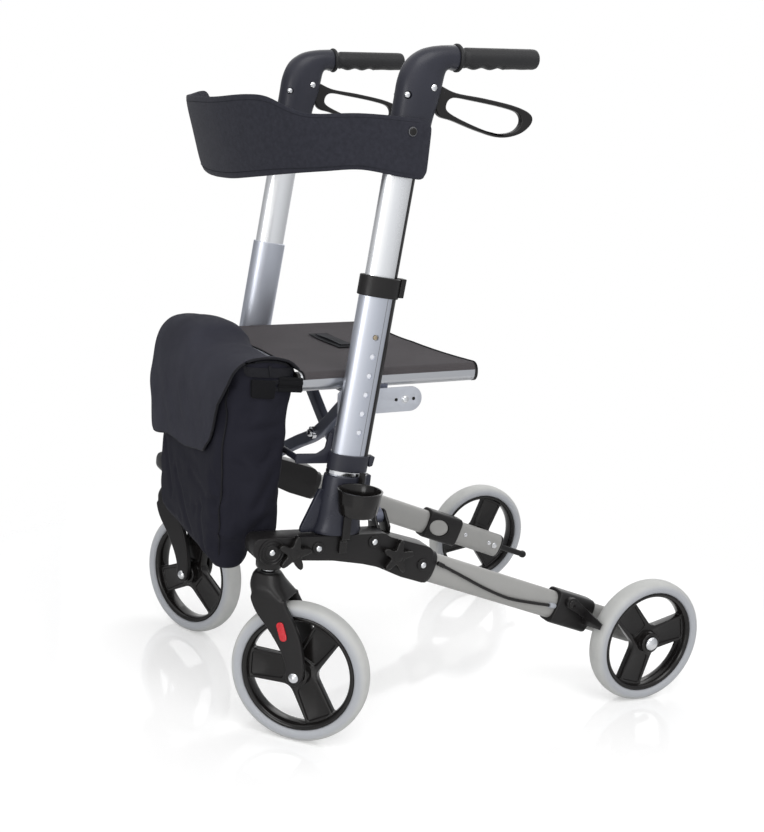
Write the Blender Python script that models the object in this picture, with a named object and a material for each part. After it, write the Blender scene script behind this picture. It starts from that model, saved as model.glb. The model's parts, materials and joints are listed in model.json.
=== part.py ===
"""Side-folding rollator: two side frames on a scissor brace, four wheels, handles with loop brakes.

Metres, +Z up, the user walks towards -Y. The model is laid out from a point on the floor below the
rear axle, midway between the sides; the last step stands it on the centre of its bounding box.
Side +1 is the user's left, side -1 the user's right.
"""

import math

import bmesh
import bpy
from mathutils import Matrix, Vector

# Fits
CLEAR = 0.0003            # between pieces that touch
RUN = 0.0004              # round a shaft that turns
SLIDE_GAP = 0.0006        # between the two column tubes
SIDES = {"left": 1, "right": -1}

# Wheels
WHEEL_RADIUS = 0.100
TYRE_WIDTH = 0.033
TYRE_HEIGHT = 0.0155      # from the rim seat to the tread
RIM_WIDTH = 0.029
RIM_RING = 0.0115         # depth of the rim ring below the tyre
WEB_THICKNESS = 0.013
POCKET_DEPTH = 0.003
SPOKES = 3
SPOKE_WIDTH = 0.041
SPOKE_LIP = 0.0035        # raised edge round each spoke
HUB_RADIUS = 0.017
HUB_LENGTH = 0.039
WHEEL_FACETS = 28
AXLE_RADIUS = 0.005
AXLE_HEAD = 0.0075

# Rear axle and casters
SPACER_LENGTH = 0.020     # on the rear axle, between the tube and the hub
REAR_SPOKE_TURN = {"left": math.radians(74), "right": math.radians(10)}
STEM_Y = -0.639
TRAIL = 0.061
STEM_RADIUS = 0.008
CROWN_TOP = 0.2355
CROWN_BOTTOM = 0.203
CROWN_GAP = 0.003         # between the crown and the tyre
LEG_THICKNESS = 0.009
LEG_GAP = 0.0035          # between a leg and the tyre
FORK_SWIVEL = {"left": math.radians(43), "right": math.radians(66)}
SPOKE_TURN = {"left": math.radians(1), "right": math.radians(63)}
REFLECTOR_LENGTH = 0.026
REFLECTOR_WIDTH = 0.009
REFLECTOR_DEPTH = 0.002

# Side frames
SIDE_X = 0.208
BRACKET_WIDTH = 0.037
BRACKET_TOP = 0.288
TUBE_HEIGHT = 0.044
TUBE_WIDTH = 0.029
TUBE_WALL = 0.0025
TUBE_FRONT = -0.455
TUBE_FRONT_Z = 0.249195   # of its middle at the front end
TUBE_REAR = 0.013
TUBE_DROP = 0.0005        # of its middle below the axle
STARS = ((-0.6135, 0.2665), (-0.4575, 0.2555))
STAR_RADIUS = 0.024
STAR_INNER = 0.010
STAR_THICKNESS = 0.010

# Columns
COLUMN_LEAN = 0.0816      # to the rear for each metre up
COLUMN_TOE = 0.0135       # inwards for each metre up
COLUMN_Y = -0.530         # of the axis at COLUMN_Z
COLUMN_Z = 0.440
LOWER_LONG = 0.054
LOWER_WIDE = 0.034
LOWER_WALL = 0.0025
UPPER_WALL = 0.002
LOWER_TOP = 0.646
SOCKET_TOP = 0.371
SOCKET_FLOOR = 0.009
SOCKET_WALL = 0.005
COLLAR_LOW = 0.377
COLLAR_HEIGHT = 0.023
COLLAR_WALL = 0.003
HANGER_ROD = 0.006        # depth of the rod that the bag hangs on
HANGER_REACH = 0.150      # of its inner end from the middle
HOLE_RADIUS = 0.0036
HOLE_TOP = 0.566
HOLE_PITCH = 0.0265
HOLES = 6
INSERTED = 0.170          # of the upper column inside the lower one at full height
UPPER_TOP = 0.872
COLUMN_FACETS = 20

# Handles
HOUSING_LOW = 0.800
HOUSING_HALF = 0.0195     # sideways
GRIP_START = Vector((0, -0.4365, 0.9442))
GRIP_END = Vector((0, -0.3090, 0.9585))
GRIP_RADIUS = 0.0138
GRIP_FLANGE = 0.0182
BAR_RADIUS = 0.0085
FINGER_BUMPS = 4
LEVER_PIVOT = (-0.4725, 0.9015)
LEVER_THICKNESS = 0.011
LEVER_PIN = 0.003
LEVER_PLAY = 0.0007       # beside the lever in the housing's slot
PIN_HEAD = 0.0048
RECESS_RADIUS = 0.0053    # of the bolt seats in the housing
RECESS_DEPTH = 0.0045
STRAP_BOLT = (-0.503, 0.842)
LEVER_SLOT = ((-0.4845, 0.858), (-0.430, 0.840), (-0.430, 0.9115), (-0.456, 0.9130),
              (-0.4765, 0.9130), (-0.4845, 0.9060))
HOUSING_BOLT = (-0.5095, 0.888)
BOLT_SEAT = 0.0125        # depth of the housing bolt's seat from the housing's middle

# Back strap
STRAP_THICKNESS = 0.007
STRAP_REAR = -0.474
STRAP_DEPTH_TOP = 0.214
STRAP_DEPTH_LOW = 0.177
STRAP_END_LOW = 0.781
STRAP_END_TOP = 0.860
STRAP_MID_LOW = 0.753
STRAP_MID_TOP = 0.864
STRAP_SQUARENESS = 2.3
STRAP_SECTIONS = 28
STRAP_LEAN = 0.030        # part of its length at each end that runs up to the bolt

# Scissor brace and seat
SEAT_TILT = math.radians(4.2)
BRACE_Y = -0.477
BRACE_Z = 0.378
FOOT_X = 0.177
FOOT_DROP = 0.082         # of the foot pivots below the middle pivot
RAIL_X = 0.1725
RAIL_RISE = 0.1245        # of the rails above the middle pivot
RAIL_HALF_HEIGHT = 0.0132
RAIL_HALF_WIDTH = 0.012
RAIL_WALL = 0.002
RAIL_FRONT = -0.124       # ends of the rails along the seat, from the middle pivot
RAIL_REAR = 0.1645
ARM_WIDTH = 0.020
ARM_THICKNESS = 0.013
ARM_SPACING = 0.018       # between the middles of the two arms
EYE_RADIUS = 0.0105
PIVOT_RADIUS = 0.004
EAR_THICKNESS = 0.004
CRADLE_LENGTH = 0.044
CLOTH_THICKNESS = 0.0016
CLOTH_SAG = 0.006
CLOTH_MARGIN = 0.004      # from the rails' ends
SUPPORT_THICKNESS = 0.003
SUPPORT_HEIGHT = 0.036
PULL_STRAP = (0.100, 0.020, 0.0016)
PULL_STRAP_AT = (-0.042, 0.029)

# Brakes
BRAKE_HALF_LENGTH = 0.037
BRAKE_MIDDLE = -0.119
BRAKE_WALL = 0.005
BRAKE_PIVOT_Y = -0.130
BRAKE_PIVOT_RISE = 0.01573  # above the middle of the rear tube
BRAKE_PIN = 0.004
SHOE_GAP = 0.0026
SHOE_ANGLES = (11, 25)    # degrees above the axle, round the tyre's front
SHOE_DEPTH = 0.008
ARM_PLATE = 0.006
CABLE_RADIUS = 0.0026

# Bag and cane holder
BAG_HALF_WIDTH = 0.186
BAG_REAR = -0.612
BAG_BOTTOM = 0.206
BAG_TOP = 0.518
BAG_WALL = 0.0025
FLAP_LOW = 0.432
FORK_SWEEP = 0.047        # radius round the caster's stem that its fork sweeps
FORK_SWEEP_TOP = 0.243
FLAP_NARROWING = 0.85     # depth of the flap at the bag's right end, to that at its left
CUP_RADIUS = 0.030
CUP_WALL = 0.0025
CUP_LOW = 0.322
CUP_HEIGHT = 0.042
CUP_STANDOFF = 0.0320     # of its axis from the socket's side
CUP_Y = -0.539
CUP_LEG = 0.004           # thickness of the leg it stands on
CLIP_LOW = 0.620
CLIP_WALL = 0.0034
CLIP_HEIGHT = 0.0265

X, Y, Z = Vector((1, 0, 0)), Vector((0, 1, 0)), Vector((0, 0, 1))


def clear_scene():
    for old in list(bpy.data.objects):
        bpy.data.objects.remove(old, do_unlink=True)


# Shapes. Each of these returns a bmesh in the layout's coordinates.


def skin(rings, closed=False):
    """Faces between rings of equal length; the two ends are capped, or joined if closed."""
    shape = bmesh.new()
    rows = [[shape.verts.new(point) for point in ring] for ring in rings]
    count = len(rows[0])
    pairs = list(zip(rows, rows[1:])) + ([(rows[-1], rows[0])] if closed else [])
    for low, high in pairs:
        for i in range(count):
            j = (i + 1) % count
            shape.faces.new((low[i], low[j], high[j], high[i]))
    if not closed:
        shape.faces.new(rows[0][::-1])
        shape.faces.new(rows[-1])
    bmesh.ops.recalc_face_normals(shape, faces=shape.faces)
    return shape


def oval(centre, u, v, half_u, half_v, count=20, power=2.0):
    """A ring of points; a power above 2 squares the oval."""
    ring = []
    for i in range(count):
        angle = 2 * math.pi * (i + 0.5) / count
        c, s = math.cos(angle), math.sin(angle)
        a = half_u * math.copysign(abs(c) ** (2 / power), c)
        b = half_v * math.copysign(abs(s) ** (2 / power), s)
        ring.append(centre + u * a + v * b)
    return ring


def across(direction):
    """Two unit vectors square to a direction: the first lies in the YZ plane where it can."""
    n = direction.normalized()
    u = (Y - n * n.dot(Y)) if abs(n.dot(Y)) < 0.9 else (Z - n * n.dot(Z))
    u.normalize()
    return u, n.cross(u)


def pipe(start, end, half_u, half_v, wall, count=20, power=2.0):
    """An open-ended oval tube."""
    u, v = across(end - start)
    outer = [oval(p, u, v, half_u, half_v, count, power) for p in (start, end)]
    inner = [oval(p, u, v, half_u - wall, half_v - wall, count, power) for p in (end, start)]
    return skin(outer + inner, closed=True)


def bar(start, end, half_u, half_v=None, count=16, power=2.0):
    """A solid bar, round unless half_v is given."""
    u, v = across(end - start)
    half_v = half_u if half_v is None else half_v
    return skin([oval(p, u, v, half_u, half_v, count, power) for p in (start, end)])


def turned(profile, base, axis, count=24, closed=False):
    """Rings of (radius, distance along axis) round a line; closed joins the last ring to the first."""
    u, v = across(axis)
    n = axis.normalized()
    return skin([oval(base + n * h, u, v, r, r, count) for r, h in profile], closed)


def prism(outline, frame, low, high):
    """An outline in the plane of frame (origin, u, v, n), from depth low to depth high along n."""
    origin, u, v, n = frame
    return skin([[origin + u * a + v * b + n * d for a, b in outline] for d in (low, high)])


def smooth_curve(points, steps, closed=False):
    """Catmull-Rom points through the given ones."""
    size = len(points)
    out = []
    spans = size if closed else size - 1
    for i in range(spans):
        if closed:
            a, b, c, d = (points[(i + k) % size] for k in (-1, 0, 1, 2))
        else:
            a, b = points[max(i - 1, 0)], points[i]
            c, d = points[i + 1], points[min(i + 2, size - 1)]
        for k in range(steps):
            t = k / steps
            out.append(tuple(
                0.5 * (2 * q + (r - p) * t + (2 * p - 5 * q + 4 * r - w) * t * t
                       + (3 * q - p - 3 * r + w) * t ** 3)
                for p, q, r, w in zip(a, b, c, d)))
    if not closed:
        out.append(tuple(points[-1]))
    return out


def arc(centre, radius, start, end, count):
    """Points of a circular arc in a plane; angles in degrees."""
    angles = [math.radians(start + (end - start) * i / count) for i in range(count + 1)]
    return [(centre[0] + radius * math.cos(a), centre[1] + radius * math.sin(a)) for a in angles]


def band(path, widths, ends=(False, False)):
    """The outline of a strip along a plane path; an end marked True is rounded."""
    left, right = [], []
    for i, (x, y) in enumerate(path):
        before, after = path[max(i - 1, 0)], path[min(i + 1, len(path) - 1)]
        dx, dy = after[0] - before[0], after[1] - before[1]
        size = math.hypot(dx, dy)
        nx, ny = -dy / size * widths[i] / 2, dx / size * widths[i] / 2
        left.append((x + nx, y + ny))
        right.append((x - nx, y - ny))

    def cap(at, toward, width):
        heading = math.degrees(math.atan2(toward[1] - at[1], toward[0] - at[0]))
        return arc(at, width / 2, heading + 90, heading + 270, 6)[1:-1]

    start = cap(path[0], path[1], widths[0]) if ends[0] else []
    finish = cap(path[-1], path[-2], widths[-1]) if ends[1] else []
    return right + finish + left[::-1] + start


def combine(first, second, operation):
    """Boolean of two shapes; both are used up."""
    bodies = []
    for shape in (first, second):
        bmesh.ops.recalc_face_normals(shape, faces=shape.faces)
        mesh = bpy.data.meshes.new("working")
        shape.to_mesh(mesh)
        shape.free()
        body = bpy.data.objects.new("working", mesh)
        bpy.context.scene.collection.objects.link(body)
        bodies.append(body)
    modifier = bodies[0].modifiers.new("join", "BOOLEAN")
    modifier.operation = operation
    modifier.solver = "EXACT"
    modifier.object = bodies[1]
    graph = bpy.context.evaluated_depsgraph_get()
    result = bmesh.new()
    result.from_mesh(bodies[0].evaluated_get(graph).to_mesh())
    for body in bodies:
        bpy.data.objects.remove(body, do_unlink=True)
    bmesh.ops.remove_doubles(result, verts=result.verts, dist=1e-6)
    bmesh.ops.dissolve_degenerate(result, edges=result.edges, dist=1e-6)
    return result


def cut(shape, *cutters):
    for cutter in cutters:
        shape = combine(shape, cutter, "DIFFERENCE")
    return shape


def join(shape, *others):
    for other in others:
        shape = combine(shape, other, "UNION")
    return shape


# Materials and bodies

FINISHES = {
    # name: colour, roughness, metallic
    "satin_aluminium": ((0.50, 0.53, 0.60), 0.38, 0.9),
    "bright_aluminium": ((0.80, 0.81, 0.84), 0.25, 0.9),
    "grey_paint": ((0.36, 0.35, 0.33), 0.5, 0.2),
    "arm_paint": ((0.075, 0.085, 0.13), 0.45, 0.3),
    "black_plastic": ((0.016, 0.016, 0.018), 0.42, 0.0),
    "gloss_black": ((0.009, 0.009, 0.010), 0.15, 0.0),
    "grey_tyre": ((0.40, 0.41, 0.44), 0.75, 0.0),
    "chrome": ((0.75, 0.76, 0.78), 0.12, 1.0),
    "brass": ((0.60, 0.47, 0.25), 0.3, 1.0),
    "red_reflector": ((0.55, 0.012, 0.015), 0.12, 0.0),
    "grip_rubber": ((0.020, 0.020, 0.021), 0.6, 0.0),
    "strap_foam": ((0.020, 0.020, 0.023), 0.85, 0.0),
    "seat_mesh": ((0.045, 0.045, 0.048), 0.85, 0.0),
    "bag_nylon": ((0.016, 0.017, 0.026), 0.75, 0.0),
}
BODIES = {}


def finish(name):
    if name in bpy.data.materials:
        return bpy.data.materials[name]
    colour, roughness, metallic = FINISHES[name]
    made = bpy.data.materials.new(name)
    made.use_nodes = True
    shader = made.node_tree.nodes["Principled BSDF"]
    shader.inputs["Base Color"].default_value = (*colour, 1)
    shader.inputs["Roughness"].default_value = roughness
    shader.inputs["Metallic"].default_value = metallic
    return made


def body(name, pivot, parent=None):
    """An empty on a joint's axis that carries the pieces which move with it."""
    empty = bpy.data.objects.new(name + "_body", None)
    bpy.context.scene.collection.objects.link(empty)
    empty.parent = BODIES[parent][0] if parent else None
    empty.location = pivot - (BODIES[parent][1] if parent else Vector())
    BODIES[name] = (empty, pivot)


def put(name, shape, carrier, material):
    """Makes a named object of a shape, carried by a body, with its origin on the body's pivot."""
    empty, pivot = BODIES[carrier]
    bmesh.ops.recalc_face_normals(shape, faces=shape.faces)
    mesh = bpy.data.meshes.new(name)
    shape.to_mesh(mesh)
    shape.free()
    mesh.transform(Matrix.Translation(-pivot))
    mesh.materials.append(finish(material))
    mesh.shade_smooth()
    mesh.set_sharp_from_angle(angle=math.radians(35))
    piece = bpy.data.objects.new(name, mesh)
    bpy.context.scene.collection.objects.link(piece)
    piece.parent = empty
    return piece


# Places that several pieces share


def column_at(side, z):
    """The column's axis at a height."""
    rise = z - COLUMN_Z
    x = SIDE_X - COLUMN_TOE * (z - BRACKET_TOP)
    return Vector((side * x, COLUMN_Y + COLUMN_LEAN * rise, z))


def column_way(side):
    return (column_at(side, 1) - column_at(side, 0)).normalized()


def column_oval(side, z, half_long, half_wide, count=COLUMN_FACETS):
    """A ring square to the column; its long axis points fore and aft."""
    u, v = across(column_way(side))
    return oval(column_at(side, z), u, v, half_long, half_wide, count)


def axle_height():
    """All four axles lie so low that the front tyres clear the crowns of their forks."""
    return CROWN_BOTTOM - CROWN_GAP - WHEEL_RADIUS


def rear_wheel_x():
    """Distance of a rear wheel's middle from the middle of the rollator."""
    return SIDE_X + TUBE_WIDTH / 2 + SPACER_LENGTH + HUB_LENGTH / 2


def tube_at(side, y):
    """The rear tube's axis, from its front end down to the rear axle."""
    low = axle_height() - TUBE_DROP
    return Vector((side * SIDE_X, y, low + (TUBE_FRONT_Z - low) * y / TUBE_FRONT))


def brake_pivot():
    """Place of the brake arm's pin on the side: y and z."""
    return BRAKE_PIVOT_Y, tube_at(1, BRAKE_PIVOT_Y).z + BRAKE_PIVOT_RISE


def side_frame(side, x=0.0):
    """The vertical plane of a side: outlines in (y, z), depths outwards from x."""
    return (Vector((side * x, 0, 0)), Y, Z, X * side)


def fold_frame():
    """The plane of the scissor brace: x, height and depth from the middle pivot."""
    up = Vector((0, -math.sin(SEAT_TILT), math.cos(SEAT_TILT)))
    along = Vector((0, math.cos(SEAT_TILT), math.sin(SEAT_TILT)))
    return (Vector((0, BRACE_Y, BRACE_Z)), X, up, along)


def fold_point(x, height, depth=0.0):
    origin, u, v, n = fold_frame()
    return origin + u * x + v * height + n * depth


def fork_frame(name):
    """The plane of a fork: distance behind the stem, height, and depth along the wheel's axle."""
    side, swivel = SIDES[name], FORK_SWIVEL[name]
    back = Vector((side * math.sin(swivel), math.cos(swivel), 0))
    if side < 0:
        back.x = math.sin(swivel)
    out = Vector((back.y, -back.x, 0)) * side
    return (Vector((side * SIDE_X, STEM_Y, 0)), back, Z, out)


# Wheels


def tyre(hub, axle):
    half, depth = TYRE_WIDTH / 2, TYRE_HEIGHT
    seat = WHEEL_RADIUS - depth + CLEAR
    side = WHEEL_RADIUS - depth * 0.45
    profile = [(seat, -half * 0.82), (side, -half), (WHEEL_RADIUS, -half * 0.52),
               (WHEEL_RADIUS, half * 0.52), (side, half), (seat, half * 0.82)]
    return turned(profile, hub, axle, WHEEL_FACETS, closed=True)


def rotated(points, turn):
    c, s = math.cos(turn), math.sin(turn)
    return [(x * c - y * s, x * s + y * c) for x, y in points]


def rim(hub, axle, phase):
    """A moulded rim: ring, hub and three wide spokes with raised edges."""
    seat = WHEEL_RADIUS - TYRE_HEIGHT
    inner = seat - RIM_RING
    ring, web, hub_half = RIM_WIDTH / 2, WEB_THICKNESS / 2, HUB_LENGTH / 2
    u, v = across(axle)
    frame = (hub, u, v, axle.normalized())
    profile = [(seat, -ring * 0.86), (seat, ring * 0.86), (inner + 0.003, ring), (inner, 0.0),
               (inner + 0.003, -ring)]
    blank = turned(profile, hub, axle, WHEEL_FACETS, closed=True)
    half = SPOKE_WIDTH / 2
    outer = inner + RIM_RING * 0.3
    crotch = half / math.sin(math.pi / SPOKES)
    outline = []
    for i in range(SPOKES):
        outline += rotated([(outer, -half), (outer, half)], phase + 2 * math.pi * (i + 0.5) / SPOKES)
        outline += rotated([(crotch, 0.0)], phase + 2 * math.pi * (i + 1) / SPOKES)
    boss = bar(hub - frame[3] * hub_half, hub + frame[3] * hub_half, HUB_RADIUS, count=12)
    blank = join(blank, prism(outline, frame, -web, web))
    pocket_in, half = HUB_RADIUS + SPOKE_LIP, half - SPOKE_LIP
    pocket = [(pocket_in, -half * 0.75), (inner - SPOKE_LIP, -half), (inner - SPOKE_LIP, half),
              (pocket_in, half * 0.75)]
    floor = web - POCKET_DEPTH
    for i in range(SPOKES):
        shape = rotated(pocket, phase + 2 * math.pi * (i + 0.5) / SPOKES)
        blank = cut(blank, prism(shape, frame, floor, web + 0.01))
    bore = bar(hub - frame[3] * 0.05, hub + frame[3] * 0.05, AXLE_RADIUS + RUN, count=10)
    return cut(join(blank, boss), bore)


# Casters


def fork_leg(frame, low, high):
    """One curved leg, from inside the crown to the axle."""
    path = [(0.010, 0.206), (0.015, 0.193), (0.025, 0.176), (0.037, 0.159), (0.0475, 0.140),
            (0.055, 0.121), (TRAIL, axle_height())]
    sizes = (0.040, 0.045, 0.041, 0.037, 0.033, 0.029, 0.024)
    return prism(band(path, sizes, (False, True)), frame, low, high)


def fork(name):
    frame = fork_frame(name)
    foot, back, up, out = frame
    inside = TYRE_WIDTH / 2 + LEG_GAP
    outside = inside + LEG_THICKNESS
    rings = ((CROWN_TOP, 0.0165, 0.0165, 0.0), (CROWN_TOP - 0.005, 0.0195, 0.0205, 0.0),
             (CROWN_TOP - 0.013, 0.0215, 0.0265, 0.001),
             (CROWN_TOP - 0.0225, 0.0235, outside + 0.0006, 0.004),
             (CROWN_BOTTOM - 0.003, 0.0255, outside + 0.0006, 0.0105))
    crown = skin([oval(foot + up * z + back * shift, back, out, long, wide, 14, 2.8)
                  for z, long, wide, shift in rings])
    stem = bar(foot + up * (CROWN_TOP - 0.002), foot + up * (BRACKET_TOP - 0.009), STEM_RADIUS, count=12)
    legs = [fork_leg(frame, inside, outside), fork_leg(frame, -outside, -inside)]
    shape = join(crown, stem, *legs)
    axle = foot + back * TRAIL + up * axle_height()
    hole = bar(axle - out * 0.05, axle + out * 0.05, AXLE_RADIUS + CLEAR, count=10)
    return cut(shape, hole)


def reflector(name):
    foot, back, up, out = fork_frame(name)
    face = TYRE_WIDTH / 2 + LEG_GAP + LEG_THICKNESS + CLEAR
    start = Vector((0.0335, 0.174))
    end = start + Vector((0.36, -0.93)) * (REFLECTOR_LENGTH - REFLECTOR_WIDTH)
    outline = band([start, end], [REFLECTOR_WIDTH] * 2, (True, True))
    return prism(outline, (foot, back, up, out), face, face + REFLECTOR_DEPTH)


def caster(name):
    foot, back, up, out = fork_frame(name)
    axle = foot + back * TRAIL + up * axle_height()
    carrier = name + "_fork"
    body(carrier, foot + up * CROWN_TOP, name + "_frame")
    body(name + "_front_wheel", axle, carrier)
    put(name + "_fork", fork(name), carrier, "black_plastic")
    put(name + "_reflector", reflector(name), carrier, "red_reflector")
    half = TYRE_WIDTH / 2 + LEG_GAP + LEG_THICKNESS
    pin = turned([(AXLE_HEAD * 0.6, -half - 0.0045), (AXLE_HEAD, -half - CLEAR),
                  (AXLE_RADIUS, -half - CLEAR), (AXLE_RADIUS, half + CLEAR),
                  (AXLE_HEAD, half + CLEAR), (AXLE_HEAD * 0.6, half + 0.0045)], axle, out, 10)
    put(name + "_front_axle", pin, carrier, "chrome")
    wheel = name + "_front_wheel"
    put(name + "_front_tyre", tyre(axle, out), wheel, "grey_tyre")
    put(name + "_front_rim", rim(axle, out, SPOKE_TURN[name]), wheel, "gloss_black")


def rear_wheel(name):
    side = SIDES[name]
    hub = Vector((side * rear_wheel_x(), 0, axle_height()))
    carrier = name + "_rear_wheel"
    body(carrier, hub, name + "_frame")
    put(name + "_rear_tyre", tyre(hub, X), carrier, "grey_tyre")
    put(name + "_rear_rim", rim(hub, X * side, side * REAR_SPOKE_TURN[name]), carrier, "gloss_black")


# Side frames


def star(side, y, z):
    """A five-pointed knob on the bracket's outer face."""
    face = SIDE_X + BRACKET_WIDTH / 2
    outline = []
    for i in range(5):
        for radius, offset in ((STAR_RADIUS, -3), (STAR_RADIUS, 3), (STAR_INNER, 36)):
            angle = math.radians(90 - 8 + 72 * i + offset)
            outline.append((y + radius * math.cos(angle), z + radius * math.sin(angle)))
    return prism(outline, side_frame(side, face), -0.002, STAR_THICKNESS)


def bracket(name):
    """The long casting: plate, stem housing, star knobs, ears for a brace arm, bores for tube and stem."""
    side = SIDES[name]
    half = BRACKET_WIDTH / 2
    top = smooth_curve([(-0.472, BRACKET_TOP), (-0.462, 0.2815), (-0.433, 0.2735),
                        (-0.400, 0.2650), (-0.386, 0.2585)], 1)
    low = smooth_curve([(-0.3955, 0.2035), (-0.440, 0.2165), (-0.479, 0.2340), (-0.503, 0.2415),
                        (-0.550, 0.2490), (-0.600, 0.2515), (-0.655, 0.2545)], 1)
    nose = arc((-0.6605, 0.2765), 0.0115, 180, 90, 4)
    outline = top + [(-0.3800, 0.2490)] + low + [(-0.6700, 0.2600)] + nose
    plate = prism(outline, side_frame(side, SIDE_X), -half, half)
    stem_at = Vector((side * SIDE_X, STEM_Y, 0))
    boss = skin([oval(stem_at + Z * z, Y, X, r, r, 12)
                 for z, r in ((CROWN_TOP + 0.0045, 0.0155), (0.2465, 0.0180), (0.262, 0.0180))])
    arm_depth = -ARM_SPACING / 2 if side < 0 else ARM_SPACING / 2
    origin, u, v, n = fold_frame()
    frame = (origin, u * side, v, n)
    ear = arc((FOOT_X, -FOOT_DROP), EYE_RADIUS, 30, 210, 6) + [
        (FOOT_X - 0.006, -0.110), (SIDE_X - 0.008, -0.118), (SIDE_X - 0.008, -0.092)]
    gap = ARM_THICKNESS / 2 + RUN
    ears = [prism(ear, frame, arm_depth + gap, arm_depth + gap + EAR_THICKNESS),
            prism(ear, frame, arm_depth - gap - EAR_THICKNESS, arm_depth - gap)]
    pin_at = fold_point(side * FOOT_X, -FOOT_DROP, arm_depth)
    reach = gap + EAR_THICKNESS * 0.6
    pin = bar(pin_at - n * reach, pin_at + n * reach, PIVOT_RADIUS, count=12)
    shape = join(plate, boss, *ears, pin, *[star(side, y, z) for y, z in STARS])
    tube = bar(tube_at(side, TUBE_FRONT - 0.0005), tube_at(side, -0.30), TUBE_HEIGHT / 2 + CLEAR,
               TUBE_WIDTH / 2 + CLEAR, 16, 2.4)
    stem = bar(stem_at + Z * (CROWN_TOP - 0.01), stem_at + Z * (BRACKET_TOP - 0.0085),
               STEM_RADIUS + RUN, count=12)
    return cut(shape, tube, stem)


def column_socket(name):
    """Foot of the column with its gusset; the tube stands in the bore."""
    side = SIDES[name]
    long, wide = LOWER_LONG / 2 + SOCKET_WALL, LOWER_WIDE / 2 + SOCKET_WALL
    low = BRACKET_TOP + CLEAR
    levels = ((low, 0.003), (low + 0.012, 0.0015), (SOCKET_TOP, 0.0))
    u, v = Y, X
    outer = skin([oval(column_at(side, z), u, v, long + extra, wide + extra / 2, COLUMN_FACETS)
                  for z, extra in levels])
    front = column_at(side, 0.35).y - long
    web = [(front + 0.006, 0.350), (front - 0.036, low), (front + 0.010, low)]
    gusset = prism(web, side_frame(side, SIDE_X), -0.003, 0.003)
    lug_y = column_at(side, SOCKET_TOP).y + long
    lug = prism([(lug_y - 0.006, 0.352), (lug_y + 0.005, 0.354), (lug_y + 0.005, SOCKET_TOP - 0.001),
                 (lug_y - 0.006, SOCKET_TOP - 0.001)], side_frame(side, SIDE_X), -0.006, 0.006)
    bore = skin([column_oval(side, z, LOWER_LONG / 2 + CLEAR, LOWER_WIDE / 2 + CLEAR)
                 for z in (low + SOCKET_FLOOR - CLEAR, SOCKET_TOP + 0.02)])
    return cut(join(outer, gusset, lug), bore)


def lower_column(name):
    side = SIDES[name]
    low = BRACKET_TOP + CLEAR + SOCKET_FLOOR
    wall = LOWER_WALL
    outer = [column_oval(side, z, LOWER_LONG / 2, LOWER_WIDE / 2) for z in (low, LOWER_TOP)]
    inner = [column_oval(side, z, LOWER_LONG / 2 - wall, LOWER_WIDE / 2 - wall)
             for z in (LOWER_TOP, low)]
    tube = skin(outer + inner, closed=True)
    for i in range(HOLES):
        at = column_at(side, HOLE_TOP - i * HOLE_PITCH)
        tube = cut(tube, bar(at + X * side * 0.008, at + X * side * 0.03, HOLE_RADIUS, count=6))
    return tube


def collar(name):
    """Ring above the socket, with a tab behind and the hook that the bag hangs on in front."""
    side = SIDES[name]
    long, wide = LOWER_LONG / 2, LOWER_WIDE / 2
    low, high = COLLAR_LOW, COLLAR_LOW + COLLAR_HEIGHT
    body_rings = [column_oval(side, z, long + COLLAR_WALL, wide + COLLAR_WALL) for z in (low, high)]
    solid = skin(body_rings)
    back = column_at(side, high).y + long + COLLAR_WALL
    tab = prism([(back - 0.006, high - 0.019), (back + 0.003, high - 0.017), (back + 0.006, high - 0.003),
                 (back - 0.006, high - 0.003)], side_frame(side, SIDE_X), -0.007, 0.007)
    front = column_at(side, low).y - long
    tip = BAG_REAR + CLEAR
    hook = [(front + 0.006, low + 0.008), (tip, low + 0.008), (tip, low + 0.022),
            (front - 0.016, low + 0.022), (front - 0.007, low + 0.030), (front - 0.004, low + 0.053),
            (front + 0.004, low + 0.053), (front + 0.004, low + 0.022), (front + 0.006, low + 0.022)]
    hanger = prism(hook, side_frame(side, SIDE_X - 0.007), -0.0025, 0.0025)
    rod = [(tip, low + 0.010), (tip, low + 0.020), (tip + HANGER_ROD, low + 0.020),
           (tip + HANGER_ROD, low + 0.010)]
    hanger = join(hanger, prism(rod, side_frame(side, 0), HANGER_REACH, SIDE_X - 0.006))
    bore = skin([column_oval(side, z, long + CLEAR, wide + CLEAR) for z in (low - 0.01, high + 0.07)])
    return cut(join(solid, tab, hanger), bore)


def rear_tube(name):
    side = SIDES[name]
    start, end = tube_at(side, TUBE_FRONT), tube_at(side, TUBE_REAR)
    tube = pipe(start, end, TUBE_HEIGHT / 2, TUBE_WIDTH / 2, TUBE_WALL, 16, 2.4)
    axle = Vector((side * SIDE_X, 0, axle_height()))
    return cut(tube, bar(axle - X * 0.03, axle + X * 0.03, AXLE_RADIUS + CLEAR, count=10))


def rear_plug(name):
    """Plug in the tube's end with the pin that tips the rollator over a kerb."""
    side = SIDES[name]
    along = (tube_at(side, 1) - tube_at(side, 0)).normalized()
    u, v = across(along)
    end = tube_at(side, TUBE_REAR)
    gap = TUBE_WALL + CLEAR
    rings = [(-0.050, -gap), (CLEAR, -gap), (CLEAR, 0.0), (0.006, -0.001)]
    plug = skin([oval(end + along * s, u, v, TUBE_HEIGHT / 2 + grow, TUBE_WIDTH / 2 + grow, 16, 2.4)
                 for s, grow in rings])
    pin = turned([(0.0055, 0.0), (0.0055, 0.062), (0.0070, 0.065), (0.0045, 0.071)],
                 end + along * 0.004, along, 8)
    axle = Vector((side * SIDE_X, 0, axle_height()))
    return cut(join(plug, pin), bar(axle - X * 0.03, axle + X * 0.03, AXLE_RADIUS + CLEAR, count=10))


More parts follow.
